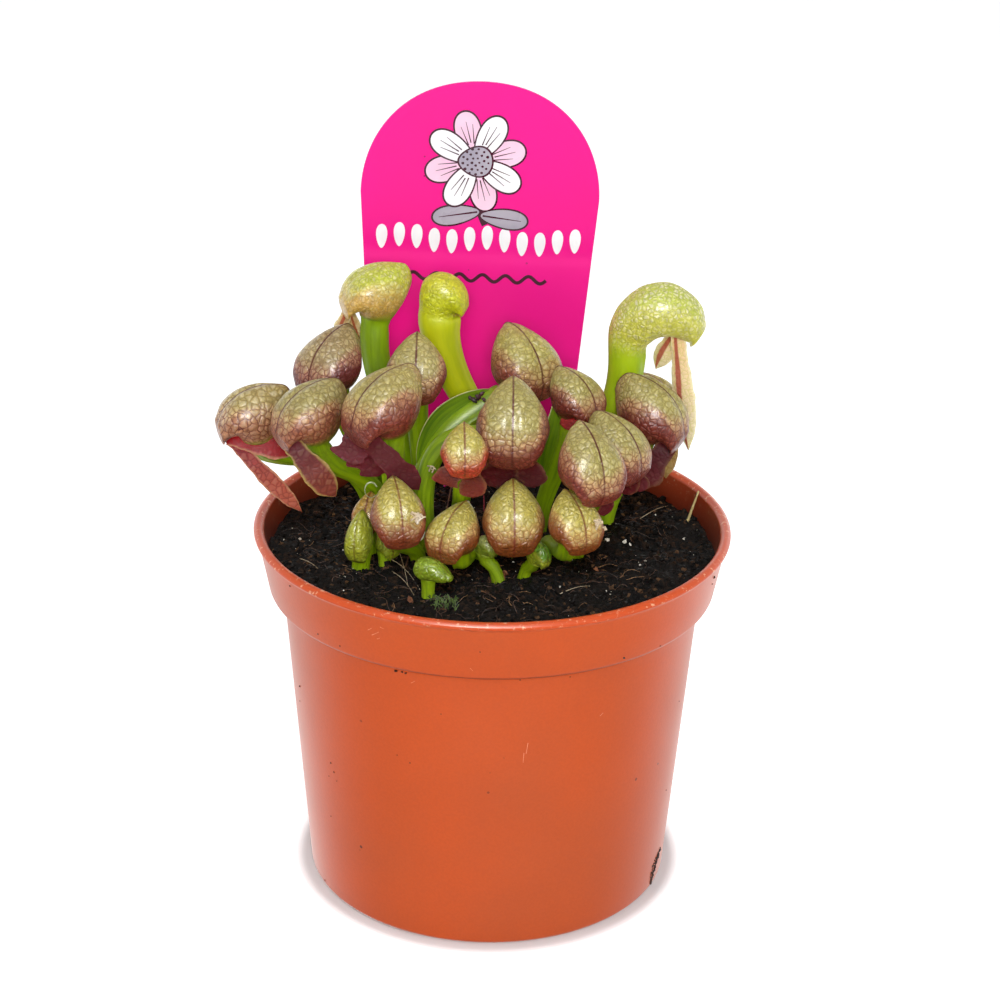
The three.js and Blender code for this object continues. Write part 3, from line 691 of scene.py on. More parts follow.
def drill_drains(pot):
    """Cuts a ring of upright round holes through the pot's floor."""
    drills = Shape()
    for k in range(DRAIN_COUNT):
        a = (k + 0.5) * TAU / DRAIN_COUNT
        x, y = DRAIN_CIRCLE * math.cos(a), DRAIN_CIRCLE * math.sin(a)
        add_tube(drills, np.array([[x, y, DRAIN_BELOW], [x, y, DRAIN_ABOVE]]), DRAIN_RADIUS, 24)
    drill = drills.make("drain_drills", pot.data.materials[0], "pot_plastic")
    cut = pot.modifiers.new("drain holes", "BOOLEAN")
    cut.object = drill
    cut.operation = "DIFFERENCE"
    cut.solver = "EXACT"
    bpy.context.view_layer.update()
    cut_mesh = bpy.data.meshes.new_from_object(pot.evaluated_get(bpy.context.evaluated_depsgraph_get()))
    pot.modifiers.clear()
    pot.data = cut_mesh
    bpy.data.objects.remove(drill)


def make_pot():
    """The outline's rings, each with its share of the inner wall's painted shade, of the lip and of the
    painted shade under the band's ledge.
    """
    outline = pot_outline()
    radius, level = outline[:, 0], outline[:, 1]
    number = np.arange(len(outline))
    top = level.argmax()
    inner_wall = (radius < INNER_WALL_RADIUS) & (level > INNER_WALL_FOOT) & (number > top)
    looks = {
        # painted shade on the inner wall above the soil
        "inside": inner_wall * smooth(level, 95.2, 93.6),
        "lip": smooth(level, 93.5, 94.3),
        # painted shade under the band's ledge, on the outer side only
        "seam": (number < top) * np.exp(-((level - LEDGE_SHADE_LEVEL) / LEDGE_SHADE_HALF) ** 2),
    }
    looks = {key: np.append(np.repeat(value, POT_SPOKES), [0, 0]) for key, value in looks.items()}
    ends = [[0, 0, 0], [0, 0, POT_FLOOR]]
    points = np.concatenate([turned_rings(outline, POT_SPOKES).reshape(-1, 3), ends])
    shape = Shape()
    shape.add(points, closed_faces(len(outline), POT_SPOKES), **looks)
    drill_drains(shape.make("pot_finished", pot_material(), "pot_plastic", ["pot"]))


make_pot()


# Soil
SOIL_LEVEL = 88.6
SOIL_EDGE = 56.3
SOIL_RINGS = 128
SOIL_SPOKES = 384
SOIL_FLOOR = 3.4
SOIL_SKIRT = np.array([(54.9, 81.0), (51.3, 80.6), (45.1, SOIL_FLOOR)])


def soil_height(x, y):
    """The solid's top: a low mound, 1.6(0.4 - (r/60)^2), and 0.7 of a slow wave."""
    waves = np.sin(x * 0.21 + 1.3) * np.cos(y * 0.17 - 0.4) + 0.6 * np.sin(x * 0.11 - y * 0.26)
    return SOIL_LEVEL + 1.6 * (0.4 - (x * x + y * y) / 3600) + 0.7 * waves


def soil_top(x, y):
    """The solid's top with lumps of 7, 3 and 1.4 mm on it."""
    flat = np.stack([x, y, np.zeros_like(x)], -1)
    lumps = 0.55 * noise(flat, 7.0, 1) + 0.5 * noise(flat, 3.0, 2) + 0.4 * np.abs(noise(flat, 1.4, 3)) - 0.1
    return soil_height(x, y) + lumps


def soil_point(px, py, above=0.0):
    """The point on the soil that a pixel of the photograph shows."""
    level = SOIL_LEVEL
    for _ in range(4):
        x, y, _z = seen_at(px, py, level)
        level = float(soil_top(np.array(x), np.array(y)))
    return np.array([x, y, level + above])


def make_soil(material):
    """A closed body of rings: the lumpy top out to the wall, then down the wall, the ledge and the floor."""
    radius = SOIL_EDGE * (np.arange(1, SOIL_RINGS + 1) / SOIL_RINGS) ** 0.9
    angle = np.arange(SOIL_SPOKES) / SOIL_SPOKES * TAU
    x = radius[:, None] * np.cos(angle)
    y = radius[:, None] * np.sin(angle)
    top = np.stack([x, y, soil_top(x, y)], -1)
    grid = np.concatenate([top, turned_rings(SOIL_SKIRT, SOIL_SPOKES)])[:, ::-1]
    middle = [0.0, 0.0, float(soil_top(np.zeros(1), np.zeros(1))[0])]
    points = np.concatenate([grid.reshape(-1, 3), [middle, [0, 0, SOIL_FLOOR]]])
    shape = Shape()
    shape.add(points, closed_faces(len(grid), SOIL_SPOKES))
    shape.make("potting_soil_finished", material, "soil", ["potting_soil"])


CRUMB_COUNT = 3600
CRUMB_CORNERS = np.array([
    (0, 0, -1), (0.72, -0.53, -0.45), (-0.28, -0.85, -0.45), (-0.89, 0, -0.45), (-0.28, 0.85, -0.45),
    (0.72, 0.53, -0.45), (0.28, -0.85, 0.45), (-0.72, -0.53, 0.45), (-0.72, 0.53, 0.45), (0.28, 0.85, 0.45),
    (0.89, 0, 0.45), (0, 0, 1)])
CRUMB_FACES = np.array([
    (0, 1, 2), (1, 0, 5), (0, 2, 3), (0, 3, 4), (0, 4, 5), (1, 5, 10), (2, 1, 6), (3, 2, 7), (4, 3, 8),
    (5, 4, 9), (1, 10, 6), (2, 6, 7), (3, 7, 8), (4, 8, 9), (5, 9, 10), (6, 10, 11), (7, 6, 11), (8, 7, 11),
    (9, 8, 11), (10, 9, 11)])


def add_crumbs(shape, places, sizes, draw, **values):
    """Twenty-faced lumps, one at each place, with uneven corners, stretched and turned at random."""
    count = len(places)
    corners = CRUMB_CORNERS * draw.uniform(0.65, 1.25, (count, len(CRUMB_CORNERS), 1))
    corners = corners * (sizes[:, None] * draw.uniform(0.6, 1.4, (count, 3)))[:, None]
    axis_one = unit(draw.normal(size=(count, 3)))
    axis_two = unit(np.cross(axis_one, draw.normal(size=(count, 3))))
    turn = np.stack([axis_one, axis_two, np.cross(axis_one, axis_two)], 1)
    points = np.einsum("nij,njk->nik", corners, turn) + places[:, None]
    faces = (CRUMB_FACES[None] + np.arange(count)[:, None, None] * len(CRUMB_CORNERS)).reshape(-1, 3)
    shape.add(points.reshape(-1, 3), [faces], **values)


def make_lumps(name, colors, places, sizes, draw, flat=True):
    """A piece of dry lumps, one of that size at each place."""
    shape = Shape()
    add_crumbs(shape, np.array(places), np.array(sizes), draw)
    shape.make(name, dry_material(name.replace("_", " "), *colors), "soil", flat=flat)


def on_disc(draw, count, radius):
    """Random places on the soil within a radius, evenly spread."""
    r = radius * np.sqrt(draw.uniform(0, 1, count))
    a = draw.uniform(0, TAU, count)
    x, y = r * np.cos(a), r * np.sin(a)
    return np.stack([x, y, soil_top(x, y)], -1)


def make_crumbs(material):
    draw = np.random.default_rng(11)
    sizes = 0.32 + 0.75 * draw.uniform(0, 1, CRUMB_COUNT) ** 3
    places = on_disc(draw, CRUMB_COUNT, SOIL_EDGE - 1.0)
    places[:, 2] += 0.15 * sizes
    shape = Shape()
    add_crumbs(shape, places, sizes, draw)
    shape.make("soil_crumbs", material, "soil", flat=True)


GRAIN_COUNT = 130


def make_grains_and_glints():
    """Pale grains on the soil, many tiny ones and a few larger: partly perlite, partly painted highlights for
    the damp soil's glints.
    """
    draw = np.random.default_rng(5)
    sizes = 0.11 + 0.2 * draw.uniform(0, 1, GRAIN_COUNT) ** 4
    places = on_disc(draw, GRAIN_COUNT, SOIL_EDGE - 2)
    places[:, 2] += 0.35
    shape = Shape()
    add_crumbs(shape, places, sizes, draw)
    # partly painted highlight: white dots for glints on the damp soil, besides real perlite
    look = dry_material("pale grain and glint", srgb(236, 232, 220), srgb(200, 190, 170), 0.3)
    shape.make("pale_grains_and_glints", look, "soil")


FIBRES = {
    # name: how many, radius, and pale and dark colour
    "peat_fibres_dark": (230, 0.1, (srgb(96, 62, 40), srgb(54, 34, 24))),
    "peat_fibres_pale": (46, 0.09, (srgb(172, 128, 84), srgb(120, 84, 54))),
}
FIBRE_POINTS = 9


def make_fibres():
    """Root and peat fibres on the soil: each turns as it goes and rises a little in its middle."""
    draw = np.random.default_rng(23)
    t = np.linspace(0, 1, FIBRE_POINTS)
    for name, (count, radius, colors) in FIBRES.items():
        shape = Shape()
        for place in on_disc(draw, count, SOIL_EDGE - 6):
            length = draw.uniform(3, 9)
            start = draw.uniform(0, TAU)
            heading = start + draw.normal() * 1.6 * t + 0.5 * np.sin(t * TAU + draw.uniform(0, 6))
            x = place[0] + np.cumsum(np.cos(heading)) * length / FIBRE_POINTS
            y = place[1] + np.cumsum(np.sin(heading)) * length / FIBRE_POINTS
            inside = np.minimum(1, (SOIL_EDGE - 1.2) / np.maximum(np.hypot(x, y), 1))
            x, y = x * inside, y * inside
            z = soil_top(x, y) + 0.25 + draw.uniform(0, 0.9) * np.sin(math.pi * t)
            add_tube(shape, np.stack([x, y, z], -1), radius * (1 - 0.6 * t), 4)
        shape.make(name, dry_material(name.replace("_", " "), *colors), "soil")


SOIL = soil_material()
make_soil(SOIL)
make_crumbs(SOIL)
make_grains_and_glints()
make_fibres()


# Leaves: the hood's kind, where the tube leaves the soil, the middle of the hood, the way it faces (degrees
# from the front to the right) and nods, the hood's length and width and the tube's radius at the hood and
# the soil. via are the points that a winding tube bends towards. A tail lobe is its tip from the tail's
# root, ahead, to the hood's right and up, and its width, and face is the way that the lobes' flat sides
# look.
LEAVES = {
    "pitcher_tall_left": dict(
        hood="round", foot=(-19, 22), head=(-30.5, 20, 149.5), facing=-74, nod=-8,
        length=16.5, width=16, neck=3.6, stem=2.8,
        face=(0.2, 1, 0), lobes=[(3, -2.1, -9.8, 3.6), (-4.2, -2.1, -12.5, 3.2)]),
    "pitcher_tall_middle": dict(
        hood="bud", foot=(6, 24), head=(-13.5, 20, 148.5), facing=78, nod=0,
        length=11.5, width=10.4, neck=5.2, stem=3),
    "pitcher_tall_right": dict(
        hood="tall", foot=(22, 19), head=(40.5, 15, 145), facing=84, nod=0,
        length=23, width=15.6, neck=4.5, stem=3.3,
        face=(0.2, 1, 0), lobes=[(-5.2, 1.3, -11.5, 5), (4.2, -0.4, -31, 6)]),
    "pitcher_01": dict(
        hood="round", foot=(-28, 19), head=(-41, 10, 134), facing=-40, nod=6,
        length=17.5, width=16, neck=3, stem=2.2),
    "pitcher_02": dict(
        hood="round", foot=(-30, 11), head=(-59.97, 2, 123), facing=-74, nod=-8,
        length=17.5, width=15.5, neck=3, stem=2.2,
        via=[(-33, 10, 114), (-50, 4, 107)],
        face=(0.5, 1, 0.4), lobes=[(-17.4, 4.2, -20.4, 4.6), (-17.3, 3.1, -4, 6.6)]),
    "pitcher_03": dict(
        hood="round", foot=(-27, 4), head=(-45, -10, 128), facing=-62, nod=0,
        length=18, width=15.5, neck=3.2, stem=2.2,
        via=[(-29, 3, 112), (-40, -6, 108)],
        face=(0.5, 1, 0.3), lobes=[(-10.3, 3.6, -14.9, 7.2), (-10.7, -0.7, -7.6, 4)]),
    "pitcher_04": dict(
        hood="round", foot=(-24, -2), head=(-26.5, -16, 133), facing=-54, nod=2,
        length=19.5, width=17, neck=3.4, stem=2.3,
        face=(0.8, 0.8, 0.2), lobes=[(1.1, -1.6, -8.5, 8.5), (-6, -0.2, -12.8, 11), (-13.8, 1.8, -16, 7.5)]),
    "pitcher_05": dict(
        hood="round", foot=(-18, 14), head=(-19.5, 6, 134), facing=0, nod=10,
        length=15.5, width=14.5, neck=3, stem=2.2),
    "pitcher_06": dict(
        hood="round", foot=(-19, 4), head=(7, 12.5, 134), facing=36, nod=4,
        length=18, width=17, neck=3.4, stem=2.3,
        via=[(-20, 3, 113), (-12, 7, 119)]),
    "pitcher_07": dict(
        hood="round", foot=(-16, -5), head=(4.5, -14, 128), facing=0, nod=13,
        length=19, width=17, neck=3.4, stem=2.3,
        via=[(-20, -4, 118), (-11, -2, 123)],
        lobes=[(-6, -1.2, -10.2, 11), (-5, 3.5, -9.6, 8)]),
    "pitcher_08": dict(
        hood="round", foot=(12, 11), head=(20, 0.5, 129.5), facing=48, nod=2,
        length=14, width=13, neck=2.8, stem=2.1,
        face=(0.67, -0.74, 0), lobes=[(-5.9, -2.4, -2.1, 4)]),
    "pitcher_09": dict(
        hood="round", foot=(22, 8), head=(39.5, 6, 123.5), facing=66, nod=8,
        length=19, width=15.5, neck=3.4, stem=2.3,
        face=(0.4, -0.9, 0.1), lobes=[(-8.4, -1.9, -13.1, 8), (-5.6, 1.6, -9, 5)]),
    "pitcher_10": dict(
        hood="round", foot=(17, 3), head=(30, -11.5, 121), facing=52, nod=8,
        length=16.5, width=15, neck=3.2, stem=2.2,
        face=(0.6, -0.8, 0.1), lobes=[(-4.6, 0.7, -7, 6), (-0.4, 3, -6.2, 5)]),
    "pitcher_11": dict(
        hood="round", foot=(21, -5), head=(23, -25.5, 122.5), facing=26, nod=12,
        length=17.5, width=15.5, neck=3.2, stem=2.2,
        lobes=[(-3.6, 2.1, -7.3, 4.4)]),
    "pitcher_12": dict(
        hood="round", foot=(-9, 0), head=(-7, -25, 125), facing=3, nod=8,
        length=11.4, width=11, neck=2.6, stem=2,
        lobes=[(-2.3, -4.2, -4.5, 7), (-4, 0.9, -8.9, 7)]),
    "pitcher_13": dict(
        hood="round", foot=(-18, -12), head=(-23, -25, 108.5), facing=14, nod=10,
        length=15, width=12.8, neck=2.8, stem=2,
        lobes=[(-1.6, 4.6, 1.5, 2.8)]),
    "pitcher_14": dict(
        hood="round", foot=(-3, -8), head=(-9, -27, 104.5), facing=-32, nod=4,
        length=13.5, width=12.5, neck=2.8, stem=2),
    "pitcher_15": dict(
        hood="round", foot=(4, -2), head=(5, -24.5, 107.5), facing=3, nod=10,
        length=16, width=14.5, neck=2.9, stem=2),
    "pitcher_16": dict(
        hood="round", foot=(13, -6), head=(19.5, -30, 109), facing=28, nod=8,
        length=13.6, width=12.6, neck=2.7, stem=2),
    "pitcher_17": dict(
        hood="round", foot=(29, 16), head=(41, 22.5, 121.5), facing=60, nod=0,
        length=12, width=11, neck=2.7, stem=2.2,
        face=(0.5, -0.87, 0), lobes=[(-0.8, 0.9, -19.5, 5.4)]),
    "pitcher_18": dict(
        hood="round", foot=(-30.5, -6), head=(-31, -8, 100.5), facing=-10, nod=4,
        length=9.5, width=7.5, neck=2, stem=1.6),
    "pitcher_19": dict(
        hood="round", foot=(-26.6, -13.5), head=(-26, -14, 95.5), facing=30, nod=6,
        length=7.2, width=5.7, neck=2, stem=1.7),
    "young_01": dict(
        hood="round", foot=(-32.4, -14.6), head=(-32.5, -19, 99), facing=-16, nod=34,
        length=11, width=6.5, neck=2.4, stem=2.3),
    "young_02": dict(
        hood="pod", foot=(-15.3, -30.6), head=(-14, -31.5, 96), facing=62, nod=4,
        length=8.8, width=6, neck=1.9, stem=1.6),
    "young_03": dict(
        hood="bud", foot=(1.4, -20.2), head=(-1.5, -20, 97.5), facing=50, nod=0,
        length=5.5, width=4.4, neck=1.9, stem=1.6),
    "young_04": dict(
        hood="bud", foot=(8, -19), head=(11.5, -23, 97), facing=45, nod=20,
        length=6, width=4.4, neck=1.9, stem=1.5),
}

# Hoods: the middle, the lip and the tail's root, then rings from the neck to the lip.
# A ring's back and belly points are ahead of and above the neck, in hood lengths, half is its half width in
# half hood widths, narrow draws its back half in, and keel lifts or sinks its back point.
HOODS = {
    "round": dict(middle=(0.09, 0.46), lip=(0.52, 0.03), root=(0.42, 0.05), rings=[
        (-0.3, 0.16, 0.25, 0.04, 0.64, 0.15, 0.01),
        (-0.41, 0.42, 0.29, 0.1, 0.84, 0.3, 0.02),
        (-0.43, 0.68, 0.32, 0.13, 0.93, 0.42, 0.03),
        (-0.32, 0.86, 0.35, 0.14, 0.97, 0.42, 0.02),
        (-0.04, 0.89, 0.38, 0.13, 1, 0.3, -0.02),
        (0.26, 0.79, 0.42, 0.1, 0.97, 0.12, -0.04),
        (0.5, 0.56, 0.45, 0.06, 0.88, 0, -0.04),
        (0.6, 0.28, 0.47, 0.02, 0.68, 0, -0.03),
    ]),
    "tall": dict(middle=(0.33, 0.46), lip=(0.74, 0.19), root=(0.55, 0.27), rings=[
        (-0.2, 0.12, 0.2, 0.05, 0.62, 0, 0),
        (-0.185, 0.3, 0.22, 0.13, 0.68, 0.05, 0.01),
        (-0.11, 0.51, 0.28, 0.2, 0.8, 0.1, 0.015),
        (0.03, 0.7, 0.35, 0.25, 0.92, 0.1, 0.015),
        (0.22, 0.82, 0.43, 0.27, 1, 0.05, 0.01),
        (0.44, 0.85, 0.51, 0.27, 0.98, 0, 0),
        (0.64, 0.76, 0.58, 0.25, 0.87, 0, 0),
        (0.8, 0.6, 0.64, 0.22, 0.74, 0, 0),
        (0.85, 0.38, 0.69, 0.2, 0.52, 0, 0),
    ]),
    "bud": dict(middle=(0.08, 0.5), lip=(0.58, 0.1), root=(0, 0), rings=[
        (-0.43, 0.2, 0.4, 0.03, 0.94, 0, 0),
        (-0.42, 0.5, 0.38, 0.08, 0.98, 0, 0),
        (-0.33, 0.78, 0.38, 0.1, 1, 0, 0),
        (-0.08, 0.97, 0.4, 0.11, 1, 0, 0),
        (0.2, 0.96, 0.43, 0.11, 0.97, 0, 0),
        (0.46, 0.8, 0.46, 0.1, 0.9, 0, 0),
        (0.62, 0.52, 0.49, 0.08, 0.78, 0, 0),
        (0.65, 0.28, 0.52, 0.05, 0.6, 0, 0),
    ]),
    "pod": dict(middle=(0.14, 0.3), lip=(0.74, 0.2), root=(0, 0), rings=[
        (-0.44, 0.18, 0.14, 0, 0.85, 0, 0),
        (-0.4, 0.45, 0.2, 0.02, 0.97, 0, 0),
        (-0.14, 0.62, 0.28, 0.02, 1, 0, 0),
        (0.2, 0.6, 0.4, 0.03, 0.96, 0, 0),
        (0.48, 0.46, 0.54, 0.06, 0.76, 0, 0),
        (0.66, 0.32, 0.64, 0.12, 0.45, 0, 0),
    ]),
}
STEM_DEPTH = 8
STEM_COLLAR = 2.5
LOBE_STEPS = np.array([0, 0.25, 0.5, 0.72, 0.9, 1])
LOBE_WIDTHS = np.array([0.66, 0.68, 0.88, 1, 0.62, 0.02])[:, None]
LOBE_RINGS = 40
LOBE_HALF_THICKNESS = 0.36
LOBE_CUP = 0.16
LOBE_WRINKLE = 0.3
LOBE_WAVE = 0.07
SHEET_SPOKES = 32
TUBE_RING_SPACING = 2.2
HOOD_RING_SPACING = 0.62
KEEL_REACH = math.radians(15)
KEEL_SIDE = 1.5
KEEL_THREAD = 0.16
KEEL_THREAD_HALF = 0.24
FAR_FROM_KEEL = 9.0
WING_HEIGHT = 0.5
WING_HALF = 0.13
FULL_WIDTH = 14
SWELL = 0.75
SWELL_OF_BUD = 0.12
SWELL_FADE = 2.0
CLOSING_RINGS = 10
CLOSING_SPACING = 0.4


def hood_frame(leaf):
    """The hood's level, forward, up and side axes and its neck, which lies under the middle of the hood."""
    facing, nod = math.radians(leaf["facing"]), math.radians(leaf["nod"])
    ahead, higher = HOODS[leaf["hood"]]["middle"]
    level = np.array([math.sin(facing), -math.cos(facing), 0.0])
    forward = level * math.cos(nod) - UP * math.sin(nod)
    above = UP * math.cos(nod) + level * math.sin(nod)
    side = np.cross(above, forward)
    neck = np.array(leaf["head"], float) - (forward * ahead + above * higher) * leaf["length"]
    return level, forward, above, side, neck


def bezier(t, points):
    """Cubic Bezier curve and its slope at each t."""
    a, b, c, d = points
    t = t[:, None]
    place = a * (1 - t) ** 3 + 3 * b * t * (1 - t) ** 2 + 3 * c * t * t * (1 - t) + d * t ** 3
    slope = 3 * (b - a) * (1 - t) ** 2 + 6 * (c - b) * t * (1 - t) + 3 * (d - c) * t * t
    return place, slope


def round_angles(half_count):
    """Angles round a ring, closer together near the keel at 0: on each side pi times a share^1.35."""
    right = math.pi * (np.arange(half_count + 1) / half_count) ** 1.35
    return np.concatenate([right, TAU - right[-2:0:-1]])


def leaf_curve(leaf, neck, above):
    """Where the tube leaves the soil, the way it rises, and its curve's four points from collar to neck."""
    ground = np.array([*leaf["foot"], SOIL_LEVEL])
    via = [np.array(point, float) for point in leaf.get("via", ())]
    rise = unit(unit((via[0] if via else neck) - ground) + 1.1 * UP)
    collar = ground + rise * STEM_COLLAR
    reach = np.linalg.norm(neck - collar)
    bends = via or [collar + rise * 0.36 * reach, neck - above * 0.34 * reach]
    return ground, rise, (collar, *bends, neck)


def leaf_rows(leaf):
    """Rows from foot to lip: back point, belly point, side axis, half width, narrowing and keel."""
    length, neck_radius, stem = leaf["length"], leaf["neck"], leaf["stem"]
    _level, forward, above, side, neck = hood_frame(leaf)
    ground, rise, curve = leaf_curve(leaf, neck, above)
    t = np.linspace(0, 1, 13)[:-1]
    places, slopes = bezier(t, curve)
    places = np.concatenate([[ground - rise * STEM_DEPTH], places])
    along = unit(np.concatenate([[rise], slopes]))
    radius = np.concatenate([[stem], stem + (neck_radius - stem) * t * t])[:, None]
    back = -unit(forward - along * (along @ forward)[:, None])
    across = unit(np.cross(back, along))
    zero = np.zeros_like(radius)
    tube = np.concatenate([places + back * radius, places - back * radius, across, radius, zero, zero], 1)

    def at(ahead, higher):
        return neck + forward * ahead + above * higher

    rows = [np.concatenate([at(-neck_radius, 0), at(neck_radius, 0), side, [neck_radius, 0, 0]])]
    for back_x, back_z, belly_x, belly_z, half, narrow, keel in HOODS[leaf["hood"]]["rings"]:
        rows.append(np.concatenate([
            at(back_x * length, back_z * length), at(belly_x * length, belly_z * length), side,
            [half * leaf["width"] / 2, narrow, keel * length]]))
    return np.concatenate([tube, rows]), len(tube)


def closing_rows(last, lip_point):
    """The rows that round a hood off: the last row shrinks by a cosine and moves to the lip by a sine."""
    turn = np.linspace(0, math.pi / 2, CLOSING_RINGS)[1:-1][:, None]
    middle = (last[:3] + last[3:6]) / 2
    spoke = (last[:3] - last[3:6]) / 2
    centre = middle + (lip_point - middle) * np.sin(turn)
    side = np.broadcast_to(last[6:9], (len(turn), 3))
    sizes = [last[9] * np.cos(turn), last[10] * np.ones_like(turn), last[11] * np.cos(turn)]
    return np.concatenate([centre + spoke * np.cos(turn), centre - spoke * np.cos(turn), side, *sizes], 1)


def fine_rows(rows, tube_count, spacing, lip_point):
    """A leaf's rows set closer together, above all on the hood, their stations and that of the neck."""
    back_steps = np.linalg.norm(np.diff(rows[:, :3], axis=0), axis=1)
    belly_steps = np.linalg.norm(np.diff(rows[:, 3:6], axis=0), axis=1)
    stations = np.concatenate([[0], np.cumsum(0.5 * (back_steps + belly_steps))])
    neck_station, last_station = stations[tube_count], stations[-1]
    tube_rings = max(8, int(neck_station / (TUBE_RING_SPACING * spacing)))
    hood_rings = int((last_station - neck_station) / (HOOD_RING_SPACING * spacing))
    tube_at = np.linspace(0, neck_station, tube_rings, endpoint=False)
    at = np.concatenate([tube_at, np.linspace(neck_station, last_station, hood_rings)])
    closing = closing_rows(rows[-1], lip_point)
    fine = np.concatenate([through(stations, rows, at), closing])
    at = np.concatenate([at, last_station + np.arange(1, len(closing) + 1) * CLOSING_SPACING])
    return fine, at, neck_station


def leaf_grid(leaf, half_count, spacing):
    """The tube and hood as rings. A ring is middle + spoke cos a - side half sin a (1 - narrow cos a), the
    keel lifts it near a = 0 and a low wing stands on the tube's front at a = 180 degrees."""
    length, width = leaf["length"], leaf["width"]
    lip_ahead, lip_above = HOODS[leaf["hood"]]["lip"]
    _level, forward, above, _side, neck = hood_frame(leaf)
    rows, tube_count = leaf_rows(leaf)
    lip_point = neck + forward * lip_ahead * length + above * lip_above * length
    fine, at, neck_station = fine_rows(rows, tube_count, spacing, lip_point)
    back, belly, across = fine[:, None, :3], fine[:, None, 3:6], unit(fine[:, None, 6:9])
    half, narrow, keel = (fine[:, k, None, None] for k in (9, 10, 11))
    angle = round_angles(half_count)[None, :, None]
    centre, spoke = (back + belly) / 2, (back - belly) / 2
    outward = spoke / np.maximum(np.linalg.norm(spoke, axis=-1, keepdims=True), 1e-6)
    sideways = -half * np.sin(angle) * (1 - narrow * np.cos(angle))
    from_keel = np.minimum(angle, TAU - angle)
    grid = centre + spoke * np.cos(angle) + across * sideways
    hood = smooth(at, neck_station - 0.5, neck_station + 0.32 * length)[:, None, None]
    size_share = min(1.0, width / FULL_WIDTH)
    groove = keel * np.clip(1 - from_keel / KEEL_REACH, 0, 1)
    thread = KEEL_THREAD * np.exp(-(sideways / KEEL_THREAD_HALF) ** 2) * (from_keel < KEEL_SIDE)
    wing = WING_HEIGHT * np.exp(-((math.pi - from_keel) / WING_HALF) ** 2)
    grid = grid + outward * (groove + size_share * (hood * thread - (1 - hood) * wing))
    normal = grid_normals(grid)
    uneven = SWELL_OF_BUD if leaf["hood"] == "bud" else SWELL
    swell = hood[..., 0] * size_share * uneven * (0.14 * noise(grid, 3.0, 4) + 0.07 * noise(grid, 1.3, 6))
    fade = np.clip((at[-1] - at) / SWELL_FADE, 0, 1)[:, None]
    grid = grid + normal * (swell * fade)[..., None]
    height = ((grid - neck) @ above) / (0.85 * length)
    around = angle[..., 0]
    keel_distance = np.where(from_keel < KEEL_SIDE, np.abs(sideways), FAR_FROM_KEEL)[..., 0]
    values = {
        "hood": np.broadcast_to(hood[..., 0], grid.shape[:2]),
        "low": np.clip(1 - height / 0.8 + 0.35 * smooth(np.abs(np.sin(around)), 0.72, 1.0), 0, 1),
        "keel": np.broadcast_to(keel_distance, grid.shape[:2]),
        "neck": np.broadcast_to(smooth(at, neck_station - 12, neck_station)[:, None], grid.shape[:2]),
        "grain": np.stack(np.broadcast_arrays(np.cos(around), np.sin(around), at[:, None] * 0.03), -1),
    }
    ends = [(rows[0, :3] + rows[0, 3:6]) / 2, lip_point]
    return grid, ends, values


def add_rings(shape, grid, ends, values):
    """Adds closed rings with their values. Rings whose faces would point inwards are turned round first,
    and each pole takes the values of the ring beside it."""
    outwards = grid - grid.mean(1, keepdims=True)
    if (grid_normals(grid) * outwards).sum(-1).mean() < 0:
        grid = grid[:, ::-1]
        values = {key: value[:, ::-1] for key, value in values.items()}
    points = np.concatenate([grid.reshape(-1, 3), ends])
    flat = {}
    for key, value in values.items():
        value = value.reshape(-1, 3) if value.ndim == 3 else value.reshape(-1)
        flat[key] = np.concatenate([value, value[:1], value[-1:]])
    shape.add(points, closed_faces(*grid.shape[:2]), **flat)


